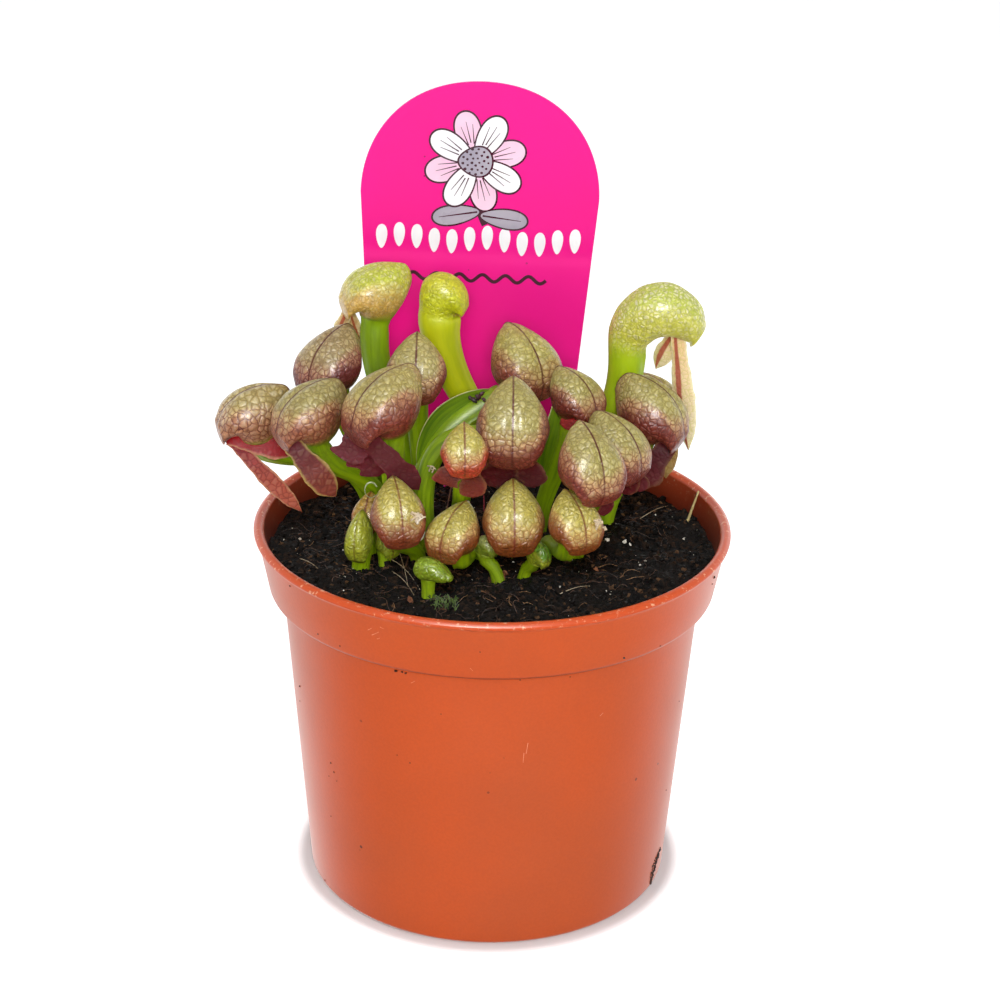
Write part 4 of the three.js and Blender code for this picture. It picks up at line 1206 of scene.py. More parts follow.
def lobe_grid(leaf, lobe, number, ragged):
    """One lobe of the tail: a lens-shaped ring carried along a curve from the tail's root to the tip, as
    wide as the widths say, a little cupped, with a wavy edge that gets ragged towards the tip."""
    tip, width = np.array(lobe[:3], float), lobe[3]
    level, forward, above, side, neck = hood_frame(leaf)
    root_ahead, root_above = HOODS[leaf["hood"]]["root"]
    flat_ahead, flat_side, flat_up = leaf.get("face", (1, 0, 0))
    flat = unit(level * flat_ahead + side * flat_side + UP * flat_up)
    root = (neck + forward * root_ahead * leaf["length"] + above * (root_above * leaf["length"] + 1)
            + side * 0.12 * np.sign(tip[1]) * leaf["width"])
    end = root + level * tip[0] + side * tip[1] + UP * tip[2]
    bend = root + level * 0.3 * tip[0] + side * 0.75 * tip[1] + UP * 0.3 * tip[2]
    t = np.linspace(0, 1, LOBE_RINGS)[:, None]
    places = root * (1 - t) ** 2 + bend * 2 * t * (1 - t) + end * t * t
    along = unit((bend - root) * (1 - t) + (end - bend) * t)
    across = unit(np.cross(along, flat))
    normal = np.cross(across, along)
    half = through(LOBE_STEPS, LOBE_WIDTHS, t[:, 0]) * width / 2
    angle = np.arange(SHEET_SPOKES) / SHEET_SPOKES * TAU
    wide = np.cos(angle)
    reach = np.linalg.norm(tip)
    spots = np.stack(np.broadcast_arrays(t * reach / 2.2 + number * 5, wide[None] * 0.8, 0 * t), -1)
    edge = 1 + (LOBE_WAVE + ragged * smooth(t, 0.25, 0.8)) * noise(spots, 1.0, 8)
    fine = 1 + 0.05 * noise(spots, 0.3, 9)
    lens = np.sign(np.sin(angle)) * np.abs(np.sin(angle)) ** 0.7 * (1 - 0.35 * np.abs(wide))
    thick = LOBE_HALF_THICKNESS * lens * smooth(1.02 - t, 0, 0.1)
    cup = LOBE_CUP * half * wide[None] ** 2
    wrinkle = LOBE_WRINKLE * noise(spots * 0.7, 1.0, 12) * smooth(1.05 - t, 0, 0.3)
    grid = (places[:, None] + across[:, None] * (half * wide * edge * fine)[..., None]
            + normal[:, None] * (thick + cup + wrinkle)[..., None])
    shape = grid.shape[:2]
    values = {
        "tail": np.ones(shape),
        "along": np.broadcast_to(t, shape),
        "rim": np.broadcast_to(np.abs(wide), shape),
        "across": np.broadcast_to(wide, shape),
        "second": np.full(shape, float(number == 1)),
        "keel": np.full(shape, FAR_FROM_KEEL),
        "grain": np.stack(np.broadcast_arrays(wide[None] * 0.5 * half, 0 * t, t * reach * 0.05), -1),
    }
    return grid, [places[0], places[-1]], values


# Broad flaps that stand on some tubes: where each starts and ends along the tube, the way it reaches and
# how far
FLAPS = {
    "pitcher_06": (0.26, 0.92, (-0.55, 0.1, 0.83), 7.0),
    "pitcher_08": (0.3, 1.22, (-0.97, 0.0, 0.2), 6.4),
}
FLAP_STEPS = 48
FLAP_HALF_THICKNESS = 0.3
FLAP_CURL = 0.05
FLAP_RIPPLE = 0.35


def flap_grid(leaf, facts):
    """A sheet along the tube: a lens-shaped ring carried along the tube's curve, its middle half a reach
    away from it. The reach is height sin(pi s)^0.4, and the sheet curls forward with the square of it."""
    start, stop, toward, height = facts
    _level, _forward, above, _side, neck = hood_frame(leaf)
    curve = leaf_curve(leaf, neck, above)[2]
    share = np.linspace(0.0, 1.0, FLAP_STEPS)
    places, slopes = bezier(start + (stop - start) * share, curve)
    across = unit(np.array(toward))
    normal = unit(np.cross(across, unit(slopes)))
    half = height / 2 * np.maximum(np.sin(math.pi * share), 0.001) ** 0.4
    angle = np.arange(SHEET_SPOKES) / SHEET_SPOKES * TAU
    wide = np.cos(angle)
    out = half[:, None] * (1 + wide)
    curl = FLAP_CURL * out ** 2 + FLAP_RIPPLE * np.sin(share * 9)[:, None] * (1 + wide) / 2
    thick = FLAP_HALF_THICKNESS * np.sin(angle) * np.minimum(half[:, None], 1)
    grid = places[:, None] + across * out[..., None] + normal[:, None] * (thick - curl)[..., None]
    shape = grid.shape[:2]
    values = {
        "flap": np.ones(shape),
        "rim": np.broadcast_to(np.abs(wide), shape),
        "keel": np.full(shape, FAR_FROM_KEEL),
        "grain": np.stack(np.broadcast_arrays(wide * 1.5, 0 * share[:, None], share[:, None] * 0.5), -1),
    }
    return grid, [grid[0].mean(0), grid[-1].mean(0)], values


# Leaf colours. A palette says how it departs from the one that it starts from.
YELLOW = {
    **SKIN,
    "Top": srgb(192, 196, 52), "Middle": srgb(206, 192, 92), "Low": srgb(196, 132, 60), "Low Share": 0.55,
    "Window": srgb(226, 220, 160), "Window Share": 0.7, "Cell": 1.25, "Fine Net": 0.2,
    "Net": srgb(168, 116, 36), "Net Top": srgb(160, 160, 30), "Net Share": 0.5,
    "Keel": srgb(168, 116, 36), "Keel Share": 0.3, "Neck Red": 0.0,
    "Tube": srgb(142, 178, 2), "Tube Shade": srgb(104, 132, 2),
    "Tail Root": srgb(214, 176, 120), "Tail Tip": srgb(226, 206, 150),
    "Tail Rim": srgb(236, 226, 184), "Tail Rim Share": 0.8,
    "Strip": srgb(172, 72, 40), "Strip Share": 0.9, "Strip Place": 0.15,
}
BUD = {
    **YELLOW,
    "Top": srgb(200, 196, 34), "Middle": srgb(190, 192, 20), "Low": srgb(182, 190, 16), "Low Share": 0.2,
    "Window": srgb(206, 204, 56), "Window Share": 0.15, "Net": srgb(176, 178, 20), "Net Share": 0.25,
    "Keel Share": 0.0, "Tube": srgb(196, 202, 8), "Tube Shade": srgb(160, 176, 6),
}
WINDOWED = {
    **YELLOW,
    "Top": srgb(194, 198, 84), "Middle": srgb(200, 198, 92), "Low": srgb(184, 178, 44),
    "Window": srgb(232, 228, 184), "Window Share": 0.85, "Cell": 1.25,
    "Net": srgb(180, 180, 50), "Net Top": srgb(160, 184, 40), "Net Share": 0.5, "Net Width": 0.12,
    "Tube": srgb(170, 196, 4), "Tube Shade": srgb(140, 174, 4),
    "Tail Root": srgb(224, 190, 140), "Tail Tip": srgb(230, 214, 170),
    "Strip": srgb(166, 60, 40), "Strip Share": 0.9, "Strip Place": -0.3,
}
OLIVE = {
    **SKIN,
    "Top": srgb(186, 172, 74), "Middle": srgb(202, 164, 92), "Low": srgb(128, 60, 8), "Low Share": 0.95,
    "Window": srgb(216, 204, 148), "Cell": 1.4,
    "Net": srgb(124, 56, 20), "Net Top": srgb(134, 112, 40), "Net Share": 0.8,
    "Keel": srgb(112, 40, 12), "Keel Share": 0.85,
}
GREEN = {
    **SKIN,
    "Top": srgb(168, 172, 40), "Middle": srgb(158, 166, 36), "Low": srgb(126, 150, 24), "Low Share": 0.5,
    "Window": srgb(186, 186, 70), "Window Share": 0.3, "Fine Net": 0.2,
    "Net": srgb(120, 92, 24), "Net Top": srgb(128, 128, 30), "Net Share": 0.45, "Keel Share": 0.4,
}
# How far the edge of each leaf's tail is torn
RAGGED = {"pitcher_04": 0.32, "pitcher_07": 0.3, "pitcher_12": 0.22, "pitcher_09": 0.2, "pitcher_13": 0.5}
LOOKS = {
    "pitcher_tall_left": YELLOW,
    "pitcher_tall_middle": BUD,
    "pitcher_tall_right": WINDOWED,
    "pitcher_01": {
        **SKIN, "Top": srgb(166, 142, 96), "Middle": srgb(176, 116, 92), "Low": srgb(110, 24, 36),
        "Net Share": 1.0,
    },
    "pitcher_02": {
        **SKIN, "Top": srgb(176, 154, 88), "Middle": srgb(196, 154, 106), "Low": srgb(150, 70, 46),
        "Low Share": 0.6, "Window": srgb(218, 204, 162), "Window Share": 0.6, "Cell": 1.75, "Net Share": 1.0,
        "Fine Net": 0.2, "Tail Root": srgb(132, 8, 30), "Tail Tip": srgb(184, 84, 58),
        "Tail Rim": srgb(206, 160, 116), "Tail Rim Share": 0.55, "Tail Net": 0.5, "Tail Window": 0.1,
        "Second": srgb(146, 0, 14), "Second Share": 1.0,
    },
    "pitcher_03": {
        **SKIN, "Top": srgb(160, 146, 82), "Low": srgb(136, 56, 36), "Low Share": 0.7, "Cell": 1.6,
        "Tail Root": srgb(96, 22, 34), "Tail Tip": srgb(128, 44, 18), "Tail Rim": srgb(186, 164, 84),
        "Tail Rim Share": 0.6, "Tail Net": 0.5, "Tail Window": 0.08,
    },
    "pitcher_04": {
        **SKIN, "Top": srgb(172, 156, 84), "Tail Root": srgb(84, 2, 20), "Tail Tip": srgb(98, 8, 26),
        "Tail Rim": srgb(120, 24, 40),
    },
    "pitcher_05": {**SKIN, "Top": srgb(180, 166, 96), "Middle": srgb(188, 146, 98)},
    "pitcher_06": {**SKIN, "Top": srgb(180, 168, 84), "Middle": srgb(192, 152, 90), "Low": srgb(140, 50, 40)},
    "pitcher_08": {**SKIN, "Tail Root": srgb(168, 8, 20), "Tail Tip": srgb(180, 24, 24)},
    "pitcher_12": {
        **OLIVE, "Middle": srgb(196, 150, 88), "Low": srgb(176, 40, 20), "Tail Root": srgb(76, 6, 6),
        "Tail Tip": srgb(116, 26, 16),
    },
    "pitcher_13": {
        **OLIVE, "Middle": srgb(184, 140, 88), "Low": srgb(124, 48, 26), "Tail Root": srgb(214, 204, 178),
        "Tail Tip": srgb(236, 230, 212), "Tail Net": 0.1,
    },
    "pitcher_14": OLIVE,
    "pitcher_15": OLIVE,
    "pitcher_16": OLIVE,
    "pitcher_17": {
        **OLIVE, "Top": srgb(170, 150, 70), "Tail Root": srgb(150, 110, 60), "Tail Tip": srgb(176, 144, 84),
        "Tail Rim": srgb(190, 166, 110),
    },
    "pitcher_18": {**OLIVE, "Top": srgb(196, 150, 50), "Middle": srgb(200, 130, 44)},
    "pitcher_19": GREEN,
    "young_01": GREEN,
    "young_02": {**GREEN, "Top": srgb(130, 160, 20), "Middle": srgb(124, 156, 20)},
    "young_03": {**GREEN, "Top": srgb(190, 200, 116), "Middle": srgb(140, 160, 50)},
    "young_04": {**GREEN, "Top": srgb(90, 140, 20)},
}
# Spokes on each side of a hood and the spacing of its rings, for narrow hoods and for the others
SMALL_WIDTH = 10
SMALL_MESH = (24, 0.55)
LARGE_MESH = (38, 0.62)


def make_leaf(name, leaf):
    """One grown piece: the tube with its hood, the tail's lobes and the flap, where the leaf has them."""
    half_count, spacing = SMALL_MESH if leaf["width"] < SMALL_WIDTH else LARGE_MESH
    shape = Shape()
    add_rings(shape, *leaf_grid(leaf, half_count, spacing))
    for number, lobe in enumerate(leaf.get("lobes", ())):
        add_rings(shape, *lobe_grid(leaf, lobe, number, RAGGED.get(name, 0.0)))
    if name in FLAPS:
        add_rings(shape, *flap_grid(leaf, FLAPS[name]))
    slot = "green_leaf" if name.startswith(("young", "pitcher_tall")) else "netted_leaf"
    material = leaf_material(name.replace("_", " "), LOOKS.get(name, SKIN))
    shape.make(name + "_finished", material, slot, [name])


for leaf_name, leaf_facts in LEAVES.items():
    make_leaf(leaf_name, leaf_facts)


# Plant label
LABEL_FOOT = np.array([-7, 37.5, 76])
LABEL_LEAN = math.radians(5)
LABEL_TURN = math.radians(1.5)
LABEL_THICKNESS = 1.0
LABEL_EDGE = 0.16
CREASE_HEIGHT = 76.5
CREASE_DEPTH = 0.3
CREASE_HALF = 2.6
TIP_HALF = 2.5
STAKE_HALF = 6.5
SIDE_FOOT = 46
SIDE_FOOT_HALF = 27.5
SIDE_TOP = 91
SIDE_TOP_HALF = 30.75
LABEL_TOP = 120.48


def flat_curve(points, count):
    """Points on a cubic Bezier curve through the plane."""
    return bezier(np.linspace(0, 1, count), [np.array(point, float) for point in points])[0]


def label_side():
    """Right edge of the label from tip to crown: straight stake, curved shoulder, straight side, crown."""
    foot, top = np.array([SIDE_FOOT_HALF, SIDE_FOOT]), np.array([SIDE_TOP_HALF, SIDE_TOP])
    shoulder = flat_curve([(STAKE_HALF, 17), (STAKE_HALF, 29), (SIDE_FOOT_HALF, 29), foot], 30)
    side = foot + (top - foot) * np.linspace(0, 1, 60)[1:-1, None]
    crown = flat_curve([top, (SIDE_TOP_HALF, 105.75), (20.5, LABEL_TOP), (0, LABEL_TOP)], 60)
    return np.concatenate([[(TIP_HALF, 0), (STAKE_HALF, 7)], shoulder, side, crown[:-1], [(0.05, LABEL_TOP)]])


def label_place(x, y, z):
    """Label points in the part: sunk at the crease, turned in their plane, leaned back, set on the foot."""
    sink = -CREASE_DEPTH * np.exp(-((y - CREASE_HEIGHT) / CREASE_HALF) ** 2)
    across, outward, height = x, -(z + sink), y
    across, height = (across * math.cos(LABEL_TURN) + height * math.sin(LABEL_TURN),
                      height * math.cos(LABEL_TURN) - across * math.sin(LABEL_TURN))
    outward, height = (outward * math.cos(LABEL_LEAN) + height * math.sin(LABEL_LEAN),
                       height * math.cos(LABEL_LEAN) - outward * math.sin(LABEL_LEAN))
    return np.stack([across, outward, height], -1) + LABEL_FOOT


def make_label():
    """A ring round each level of the outline: the front, a rounded edge, the back and the other edge."""
    side = label_side()
    half = side[:, :1]
    share = np.linspace(1, -1, 25)[None]
    front = np.maximum(half - LABEL_EDGE, half * 0.5) * share
    x = np.concatenate([front, -half, -half, front[:, ::-1], half, half], 1)
    thick = LABEL_THICKNESS / 2
    face = np.full(front.shape, thick)
    edge = np.full(half.shape, thick - LABEL_EDGE)
    z = np.concatenate([face, edge, -edge, -face, -edge, edge], 1)
    y = np.broadcast_to(side[:, 1:], x.shape)
    cut = (np.abs(z) < thick - 0.01).astype(float)
    ends = label_place(np.zeros(2), np.array([0.0, LABEL_TOP]), np.zeros(2))
    shape = Shape()
    add_rings(shape, label_place(x, y, z), ends, {"cut": cut})
    shape.make("plant_label_finished", label_material(), "label_plastic", ["plant_label"], flat=True)


make_label()


# Print on the label: a plain daisy of layered petals, with a row of drops and a wavy line under it
PRINT_STEP = 0.03
PRINT_SINK = 0.2
OUTLINE_WIDTH = 0.5
DAISY = np.array([-1.5, 100.0])
PETAL_COUNT = 8
PETAL_LENGTH = 12.0
PETAL_WIDTH = 7.2
PETAL_START = 1.0
PETAL_VEIN_TILTS = (-0.16, 0.0, 0.16)
DISC_WIDTH = 8.4
DISC_DOTS = ((1.0, 5), (2.2, 9), (3.3, 13))
STEM_RUN = np.array([3.0, -11.5])
DAISY_LEAVES = ((190, 87.0), (-6, 86.0))
DAISY_LEAF_LENGTH = 12
DAISY_LEAF_WIDTH = 5.4
DROP_COUNT = 12
DROP_ROW = 79.5
DROP_START = -25.0
DROP_STEP = 4.55
DROP_LENGTH = 6.4
DROP_WIDTH = 3.3
WAVE_ROW = 69.5
WAVE_REACH = 18
WAVE_HEIGHT = 0.9
WAVE_LENGTH = 6
WAVE_WIDTH = 0.9


def print_top(layer):
    return LABEL_THICKNESS / 2 + PRINT_STEP * layer


def add_patch(shape, outline, centre, layer):
    """A thin solid on the label: rings from its middle out to its outline, then down into the label."""
    outline, centre = np.asarray(outline, float), np.asarray(centre, float)
    shares = np.append(np.linspace(0.15, 1, 6), 1.0)[:, None, None]
    flat = centre + (outline - centre) * shares
    z = np.full(flat.shape[:2], print_top(layer))
    z[-1] = LABEL_THICKNESS / 2 - PRINT_SINK
    ends = label_place(np.full(2, centre[0]), np.full(2, centre[1]), z[[0, -1], 0])
    add_rings(shape, label_place(flat[..., 0], flat[..., 1], z), ends, {})


def add_stroke(shape, path, width, layer):
    """A thin bar on the label along a path, as wide as stated there, with its lower half in the label."""
    path = np.asarray(path, float)
    along = unit(np.gradient(path, axis=0))
    across = np.stack([-along[:, 1], along[:, 0]], -1) * np.broadcast_to(width, len(path))[:, None] / 2
    top, bottom = print_top(layer), LABEL_THICKNESS / 2 - PRINT_SINK
    flat = np.stack([path + across, path - across, path - across, path + across], 1)
    z = np.broadcast_to(np.array([top, top, bottom, bottom]), flat.shape[:2])
    grid = label_place(flat[..., 0], flat[..., 1], z)
    add_rings(shape, grid, [grid[0].mean(0), grid[-1].mean(0)], {})


def turned(points, angle, centre):
    """Points turned by an angle about the origin and then moved to a centre."""
    c, s = math.cos(angle), math.sin(angle)
    return np.stack([points[:, 0] * c - points[:, 1] * s, points[:, 0] * s + points[:, 1] * c], -1) + centre


def leaf_outline(length, width, start=0.0, grow=0.0):
    """An oval along x, fuller at its far end: x = start + length(1 + cos a)/2, y = width/2 sin a."""
    a = np.arange(48) / 48 * TAU
    x = start + length * (1 + np.cos(a)) / 2 + grow * np.cos(a)
    return np.stack([x, (width / 2 + grow) * np.sin(a) * (0.86 + 0.22 * np.cos(a))], -1)


def print_daisy(dark, white, pale):
    """Petals in two layers, each with three fine veins."""
    middle_of_petal = np.array([[PETAL_START + PETAL_LENGTH / 2, 0.0]])
    petal = leaf_outline(PETAL_LENGTH, PETAL_WIDTH, PETAL_START)
    edge = leaf_outline(PETAL_LENGTH, PETAL_WIDTH, PETAL_START, OUTLINE_WIDTH)
    vein = np.stack([np.linspace(5.0, 10.5, 12), np.zeros(12)], -1)
    for k in range(PETAL_COUNT):
        angle = (k + 0.35) * TAU / PETAL_COUNT
        front = k % 2
        middle = turned(middle_of_petal, angle, DAISY)[0]
        add_patch(dark, turned(edge, angle, DAISY), middle, 2 + 2 * front)
        add_patch(white if front else pale, turned(petal, angle, DAISY), middle, 3 + 2 * front)
        for tilt in PETAL_VEIN_TILTS:
            line = turned(turned(vein * (1 - 0.5 * abs(tilt)), tilt, 0), angle, DAISY)
            add_stroke(dark, line, np.linspace(0.32, 0.12, 12), 4 + 2 * front)


def print_disc(dark, grey):
    """The daisy's middle: a grey disc with a dark edge and rings of dots."""
    edge_width = DISC_WIDTH + 2 * OUTLINE_WIDTH
    add_patch(dark, leaf_outline(edge_width, edge_width, -edge_width / 2) + DAISY, DAISY, 7)
    add_patch(grey, leaf_outline(DISC_WIDTH, DISC_WIDTH, -DISC_WIDTH / 2) + DAISY, DAISY, 8)
    draw = np.random.default_rng(3)
    for radius, count in DISC_DOTS:
        for k in range(count):
            angle = k * TAU / count + radius
            spot = DAISY + radius * np.array([math.cos(angle), math.sin(angle)])
            size = draw.uniform(0.55, 0.85)
            add_patch(dark, leaf_outline(size, size, -size / 2) + spot, spot, 9)


def print_stem(dark, grey):
    """The daisy's stem with its two leaves."""
    t = np.linspace(0, 1, 40)
    stem = np.stack([DAISY[0] + STEM_RUN[0] * t * t, DAISY[1] - 5 + STEM_RUN[1] * t], -1)
    add_stroke(dark, stem, 1.5, 1)
    for degrees, low in DAISY_LEAVES:
        angle = math.radians(degrees)
        foot = np.array([stem[np.abs(stem[:, 1] - low).argmin(), 0], low])
        middle = turned(np.array([[DAISY_LEAF_LENGTH / 2, 0.0]]), angle, foot)[0]
        edge = leaf_outline(DAISY_LEAF_LENGTH, DAISY_LEAF_WIDTH, 0, OUTLINE_WIDTH)
        add_patch(dark, turned(edge, angle, foot), middle, 2)
        add_patch(grey, turned(leaf_outline(DAISY_LEAF_LENGTH, DAISY_LEAF_WIDTH), angle, foot), middle, 3)
        rib = np.stack([np.linspace(0.5, 10.5, 16), np.zeros(16)], -1)
        add_stroke(dark, turned(rib, angle, foot), np.linspace(0.5, 0.15, 16), 4)


def print_rows(dark, white):
    """A row of drops, each a little higher or lower than the next, and the wavy line under it."""
    for k in range(DROP_COUNT):
        place = np.array([DROP_START + DROP_STEP * k, DROP_ROW + 0.7 * math.sin(k * 1.3)])
        drop = leaf_outline(DROP_LENGTH, DROP_WIDTH, -DROP_LENGTH / 2)
        add_patch(white, turned(drop, math.radians(90), place), place, 1)
    x = np.linspace(-WAVE_REACH, WAVE_REACH, 150)
    wave = np.stack([x, WAVE_ROW + WAVE_HEIGHT * np.sin(x * TAU / WAVE_LENGTH)], -1)
    add_stroke(dark, wave, WAVE_WIDTH, 1)


def make_print():
    dark, white, pale, grey = Shape(), Shape(), Shape(), Shape()
    print_daisy(dark, white, pale)
    print_disc(dark, grey)
    print_stem(dark, grey)
    print_rows(dark, white)
    looks = {
        "dark": (dark, srgb(74, 12, 38), srgb(58, 12, 34)),
        "white": (white, srgb(250, 248, 250), srgb(240, 236, 242)),
        "pale": (pale, srgb(246, 206, 226), srgb(240, 192, 216)),
        "grey": (grey, srgb(176, 168, 180), srgb(158, 150, 166)),
    }
    for tone, (shape, color, other) in looks.items():
        material = print_material("print " + tone, color, other)
        shape.make("label_print_" + tone, material, "label_plastic", flat=True)


make_print()


# Bits lying on the soil and caught among the leaves. Places are pixels of the photograph.
def add_thread(shape, start, end, radius, sag=0.0, count=12):
    """A thin tube from start to end, bent sideways and up by sag in its middle."""
    t = np.linspace(0, 1, count)[:, None]
    bow = np.sin(math.pi * t)
    path = start * (1 - t) + end * t + np.array([0.4, 0.3, 1.0]) * sag * bow
    add_tube(shape, path, radius * (1.05 - 0.5 * t[:, 0]), 6)


WALL_LEVELS = [0.8, 79.2, 80.0, 93.4, 94.2]
WALL_RADII = [46.6, 52.9, 56.4, 59.0, 60.0]
WALL_BEFORE = -62.0
WALL_SPECKS = [
    # pixel and half size
    (290, 586, 0.3), (300, 686, 0.24), (300, 701, 0.2), (331, 763, 0.22), (334, 772, 0.26), (329, 776, 0.18),
    (337, 781, 0.16), (331, 816, 0.2), (325, 880, 0.26), (410, 763, 0.2), (397, 755, 0.16), (504, 758, 0.16),
    (490, 773, 0.14), (441, 714, 0.16), (679, 701, 0.22), (396, 671, 0.34), (406, 673, 0.3), (402, 672, 0.26),
    (520, 680, 0.26), (570, 677, 0.2), (624, 658, 0.3), (660, 646, 0.24), (714, 577, 0.34), (712, 584, 0.26),
    (340, 646, 0.26), (318, 634, 0.2), (352, 590, 0.2), (480, 652, 0.16), (666, 790, 0.18), (360, 850, 0.14),
]
WALL_SCRATCHES = [
    # start and end pixel
    (528, 743, 526, 754), (524, 753, 523, 763), (368, 630, 372, 628), (372, 635, 379, 632),
    (377, 639, 380, 638), (380, 627, 384, 629), (411, 683, 415, 681), (470, 668, 473, 671),
    (600, 716, 603, 713),
]
SCRATCH_RADIUS = 0.07
SMEAR_CRUMBS = 240
SMEAR_START = (661.0, 848)
SMEAR_RUN = (-10, 36)
SMEAR_INSET = 0.6
SMEAR_WIDTH = 3.0


def wall_point(px, py):
    """The point on the pot's outer wall that a pixel shows: its ray's first point inside the wall."""
    share = np.linspace(0, 1, 4000)[:, None]
    points = seen_before(px, py, WALL_BEFORE) * (1 - share) + seen_before(px, py, 0.0) * share
    inside = np.hypot(points[:, 0], points[:, 1]) < np.interp(points[:, 2], WALL_LEVELS, WALL_RADII)
    return points[np.argmax(inside)]


def make_wall_marks():
    """Soil specks, a smear of soil and pale scratches on the pot's outer wall."""
    draw = np.random.default_rng(17)
    places = [wall_point(px, py) for px, py, _size in WALL_SPECKS]
    sizes = [size for _px, _py, size in WALL_SPECKS]
    for share in np.linspace(0, 1, SMEAR_CRUMBS):
        # the smear is widest in its middle, and its crumbs keep to its outer edge
        width = SMEAR_WIDTH * draw.uniform() ** 2 * math.sin(math.pi * (0.1 + 0.8 * share))
        px = SMEAR_START[0] + SMEAR_RUN[0] * share - SMEAR_INSET - width
        places.append(wall_point(px, SMEAR_START[1] + SMEAR_RUN[1] * share + draw.uniform(-1, 1)))
        sizes.append(0.12 + 0.16 * draw.uniform())
    make_lumps("wall_dirt", (srgb(74, 46, 30), srgb(34, 22, 16)), places, sizes, draw)

    scratches = Shape()
    for x0, y0, x1, y1 in WALL_SCRATCHES:
        add_thread(scratches, wall_point(x0, y0), wall_point(x1, y1), SCRATCH_RADIUS)
    look = dry_material("scratch", srgb(240, 178, 140), srgb(226, 140, 100))
    scratches.make("wall_scratches", look, "pot_plastic")


# Bits among the leaves: each lies at a pixel, on an upright plane at a depth.
SCRAPS = [
    # pixel and depth, how many slivers and how far they reach
    (417, 517, -31.5, 18, 1.5), (599, 525, -34.0, 12, 1.5), (432, 470, -12, 5, 1.4),
]
CURL = (371, 490, -20.0)
CURL_HALF_WIDTH = 1.5
CURL_HALF_DEPTH = 0.5
CURL_HALF_HEIGHT = 1.8
TUFT = [
    # pixel and depth, and half size
    (478, 397, 8, 1.0), (474, 400, 8, 0.9), (482, 394, 9, 0.8), (470, 398, 8, 0.6), (484, 400, 8, 0.6),
]


def make_caught_bits():
    """Dry scraps, a dry curl and a dark tuft, caught on the leaves and between them."""
    draw = np.random.default_rng(29)
    scraps = Shape()
    for px, py, depth, count, reach in SCRAPS:
        heart = seen_before(px, py, depth)
        for _ in range(count):
            tip = heart + draw.normal(size=3) * np.array([1.0, 0.5, 0.7]) * reach * 0.5
            add_thread(scraps, heart + draw.normal(size=3) * 0.7, tip, draw.uniform(0.16, 0.36), 0.3, 8)
    scraps.make("dry_scraps", dry_material("dry scrap", srgb(246, 240, 226), srgb(206, 184, 150)), "soil")

    angle = np.linspace(0.4, 5.6, 30)[:, None]
    across, upright = np.array([CURL_HALF_WIDTH, 0, 0]), np.array([0, CURL_HALF_DEPTH, CURL_HALF_HEIGHT])
    path = seen_before(*CURL) + np.cos(angle) * across + np.sin(angle) * upright
    curl = Shape()
    add_tube(curl, path, 0.16 + 0.08 * np.sin(angle[:, 0]), 8)
    look = dry_material("dry curl", srgb(176, 184, 140), srgb(120, 128, 84), 0.35)
    curl.make("dry_curl", look, "green_leaf")

    places = [seen_before(px, py, depth) for px, py, depth, _size in TUFT]
    sizes = [size for *_place, size in TUFT]
    make_lumps("plum_tuft", (srgb(84, 16, 40), srgb(36, 10, 20)), places, sizes, draw, flat=False)


STRAW_FOOT = (687, 521, -0.5)
STRAW_RUN = np.array([2.6, 0.0, 9.0])
STRAW_RADIUS = 0.42
LUMPS = {
    # name: pale and dark colour, then pixel, height over the soil and half size of each
    "bark_chips": (srgb(164, 104, 66), srgb(104, 60, 38), [
        (500, 579, 0.5, 1.5), (505, 575, 0.6, 0.9), (410, 601, 0.3, 1.2), (596, 570, 0.2, 0.8)]),
    "white_flakes": (srgb(240, 236, 226), srgb(214, 204, 186), [
        (607, 541, 0.4, 0.7), (625, 543, 0.4, 0.8), (630, 546, 0.4, 0.5), (640, 566, 0.3, 0.4),
        (560, 586, 0.3, 0.35), (470, 592, 0.3, 0.35), (350, 560, 0.3, 0.4), (300, 540, 0.3, 0.35),
        (684, 540, 0.3, 0.4)]),
    "plum_flakes": (srgb(120, 30, 60), srgb(76, 18, 40), [(455, 500, 1.2, 0.9), (462, 505, 1.0, 0.8)]),
}
MOSS_COUNT = 70
MOSS_LEFT, MOSS_RIGHT = 430, 456
MOSS_TOP, MOSS_BOTTOM = 599, 610
THREADS = {
    # name: pale and dark colour, radius, then start and end pixels with heights, and the bow
    "pale_fibres": (srgb(206, 190, 158), srgb(150, 122, 88), 0.11, [
        (386, 561, 1.2, 420, 591, 0.4, 1.0), (392, 572, 0.8, 414, 596, 0.3, 0.6),
        (398, 556, 2.0, 408, 588, 0.4, 0.4), (640, 520, 0.4, 668, 508, 0.6, 0.6),
        (300, 560, 0.4, 322, 574, 0.4, 0.5), (560, 596, 0.4, 590, 588, 0.5, 0.6)]),
    "dried_threads": (srgb(128, 84, 48), srgb(70, 42, 26), 0.22, [
        (402, 552, 0.0, 410, 538, 5.0, 0.3), (406, 566, 0.0, 412, 556, 4.0, 0.5),
        (446, 512, 0.0, 452, 494, 4.0, 0.4), (430, 510, 0.0, 428, 488, 6.0, 0.6),
        (470, 590, 0.2, 496, 600, 0.3, 0.5)]),
    "red_needle": (srgb(170, 40, 60), srgb(110, 20, 36), 0.26, [(484, 512, -0.5, 483, 508, 5.5, 0.2)]),
}


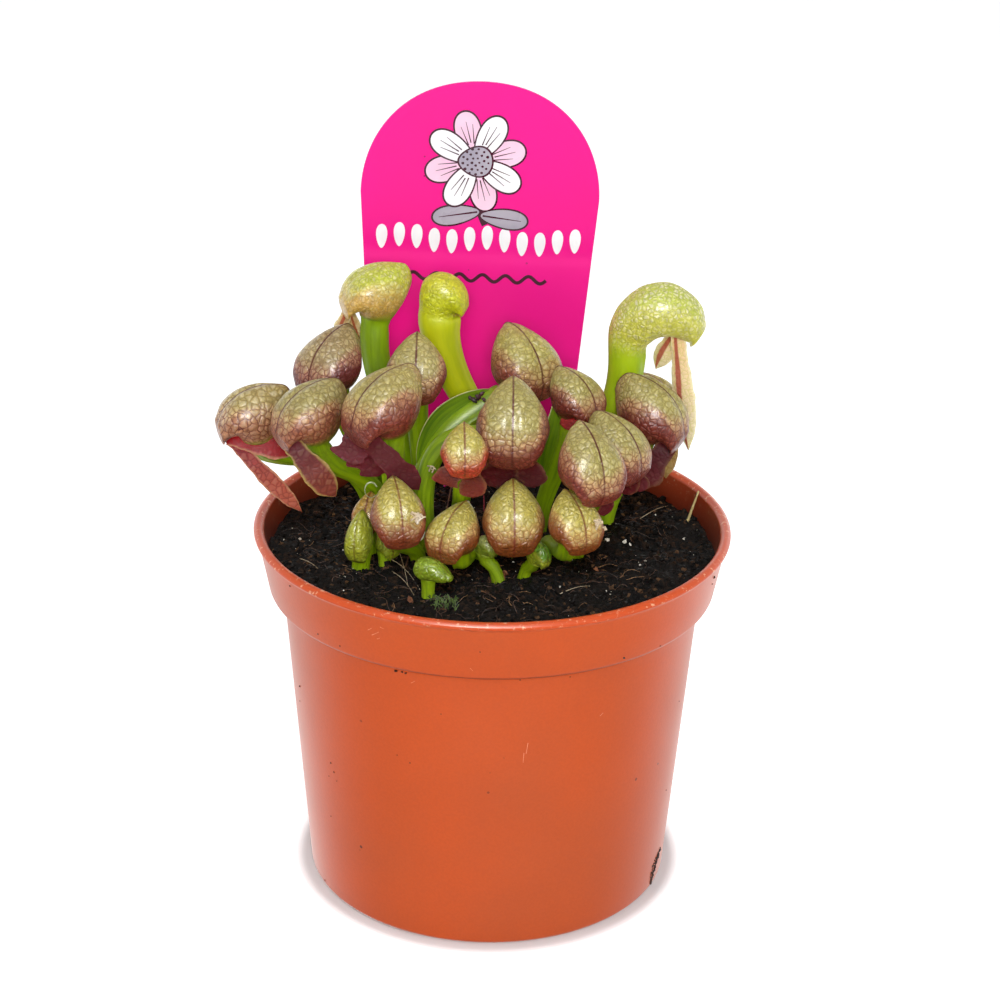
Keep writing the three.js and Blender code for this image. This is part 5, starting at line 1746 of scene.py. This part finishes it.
def make_bits():
    """What lies on the soil or stands in it: straw, chips, flakes, moss and threads."""
    draw = np.random.default_rng(41)
    straw_foot = soil_point(*STRAW_FOOT)
    straw = Shape()
    add_thread(straw, straw_foot, straw_foot + STRAW_RUN, STRAW_RADIUS)
    straw.make("straw", dry_material("straw", srgb(222, 204, 140), srgb(172, 146, 84)), "soil")

    for name, (light, dark, spots) in LUMPS.items():
        places = [soil_point(px, py, above) for px, py, above, _size in spots]
        make_lumps(name, (light, dark), places, [size for *_place, size in spots], draw)

    moss = Shape()
    for _ in range(MOSS_COUNT):
        foot = soil_point(draw.uniform(MOSS_LEFT, MOSS_RIGHT), draw.uniform(MOSS_TOP, MOSS_BOTTOM), -0.2)
        run = np.array([draw.uniform(-1.2, 1.2), draw.uniform(-1, 1), draw.uniform(0.8, 2.0)])
        add_thread(moss, foot, foot + run, 0.16, 0.2, 5)
    moss.make("moss", dry_material("moss", srgb(96, 122, 40), srgb(44, 64, 22)), "soil")

    for name, (light, dark, radius, lines) in THREADS.items():
        shape = Shape()
        for x0, y0, h0, x1, y1, h1, sag in lines:
            add_thread(shape, soil_point(x0, y0, h0), soil_point(x1, y1, h1), radius, sag)
        shape.make(name, dry_material(name.replace("_", " "), light, dark), "soil")


make_bits()
make_wall_marks()
make_caught_bits()


# Rhizome: unseen in the soil
rhizome_finish = dry_material("rhizome", srgb(196, 160, 112), srgb(140, 100, 62))
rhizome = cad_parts["rhizome"]
rhizome.data.materials.clear()
rhizome.data.materials.append(rhizome_finish)


# Floor and world
def make_floor():
    """A plain pale plate that glows a little, more where the camera sees it, and not near the foot: a painted
    contact shadow.
    """
    mesh = bpy.data.meshes.new("floor")
    h = FLOOR_SIZE / 2
    mesh.from_pydata([(-h, -h, 0), (h, -h, 0), (h, h, 0), (-h, h, 0)], [], [(0, 1, 2, 3)])
    floor = bpy.data.objects.new("floor", mesh)
    bpy.context.scene.collection.objects.link(floor)
    material, s, surface = new_material("floor")
    place = s.object_place()
    drive(s, surface, s.mix(s.noise(place, 3.0), srgb(226, 228, 230), srgb(230, 231, 232)))
    surface.inputs["Roughness"].default_value = 0.9
    surface.inputs["Specular IOR Level"].default_value = 0.1
    surface.inputs["Emission Color"].default_value = (1.0, 1.0, 1.0, 1.0)
    from_pot = s.add("VectorMath", {0: place}, operation="LENGTH").outputs["Value"]
    seen = s.times(s.add("LightPath").outputs["Is Camera Ray"], FLOOR_SEEN_GLOW)
    # painted shadow: the glow fades out towards the pot's foot
    glow = s.times(s.plus(seen, FLOOR_GLOW), s.step(from_pot, FLOOR_DIM_TO, FLOOR_DIM_FROM))
    s.tree.links.new(glow, surface.inputs["Emission Strength"])
    mesh.materials.append(material)
    floor.visible_glossy = False


def make_world():
    """White all round. Matt surfaces get less from above and from the front, where the camera stands, gloss
    shows it bright behind the plant alone, and the camera sees plain white."""
    world = bpy.data.worlds.new("world")
    bpy.context.scene.world = world
    world.use_nodes = True
    world.node_tree.nodes.clear()
    s = Shades(world.node_tree)
    direction = s.add("SeparateXYZ", {0: s.add("TexCoord").outputs["Generated"]})
    y, z = direction.outputs["Y"], direction.outputs["Z"]
    path = s.add("LightPath").outputs
    matt_around = s.step(y, -0.6, 0.1, WORLD_FRONT, WORLD_AROUND)
    matt = s.times(matt_around, s.step(z, 0.3, 0.9, 1.0, WORLD_TOP_SHARE))
    gloss_around = s.step(y, -0.4, 1.2, GLOSS_FRONT, GLOSS_BACK)
    gloss = s.times(gloss_around, s.step(z, 0.1, 0.6, 1.0, GLOSS_TOP_SHARE))
    strength = s.add("Mix", {0: path["Is Glossy Ray"], 2: matt, 3: gloss}, data_type="FLOAT").outputs[0]
    lighting = s.add("Background", {"Color": (1, 1, 1, 1), "Strength": strength})
    plain = s.add("Background", {"Color": (1, 1, 1, 1), "Strength": 1.0})
    both = s.add("MixShader", {0: path["Is Camera Ray"], 1: lighting.outputs[0], 2: plain.outputs[0]})
    output = s.add("OutputWorld")
    world.node_tree.links.new(both.outputs[0], output.inputs["Surface"])


make_floor()
make_world()
bpy.context.scene.view_settings.view_transform = "Standard"
bpy.context.scene.cycles.use_denoising = True
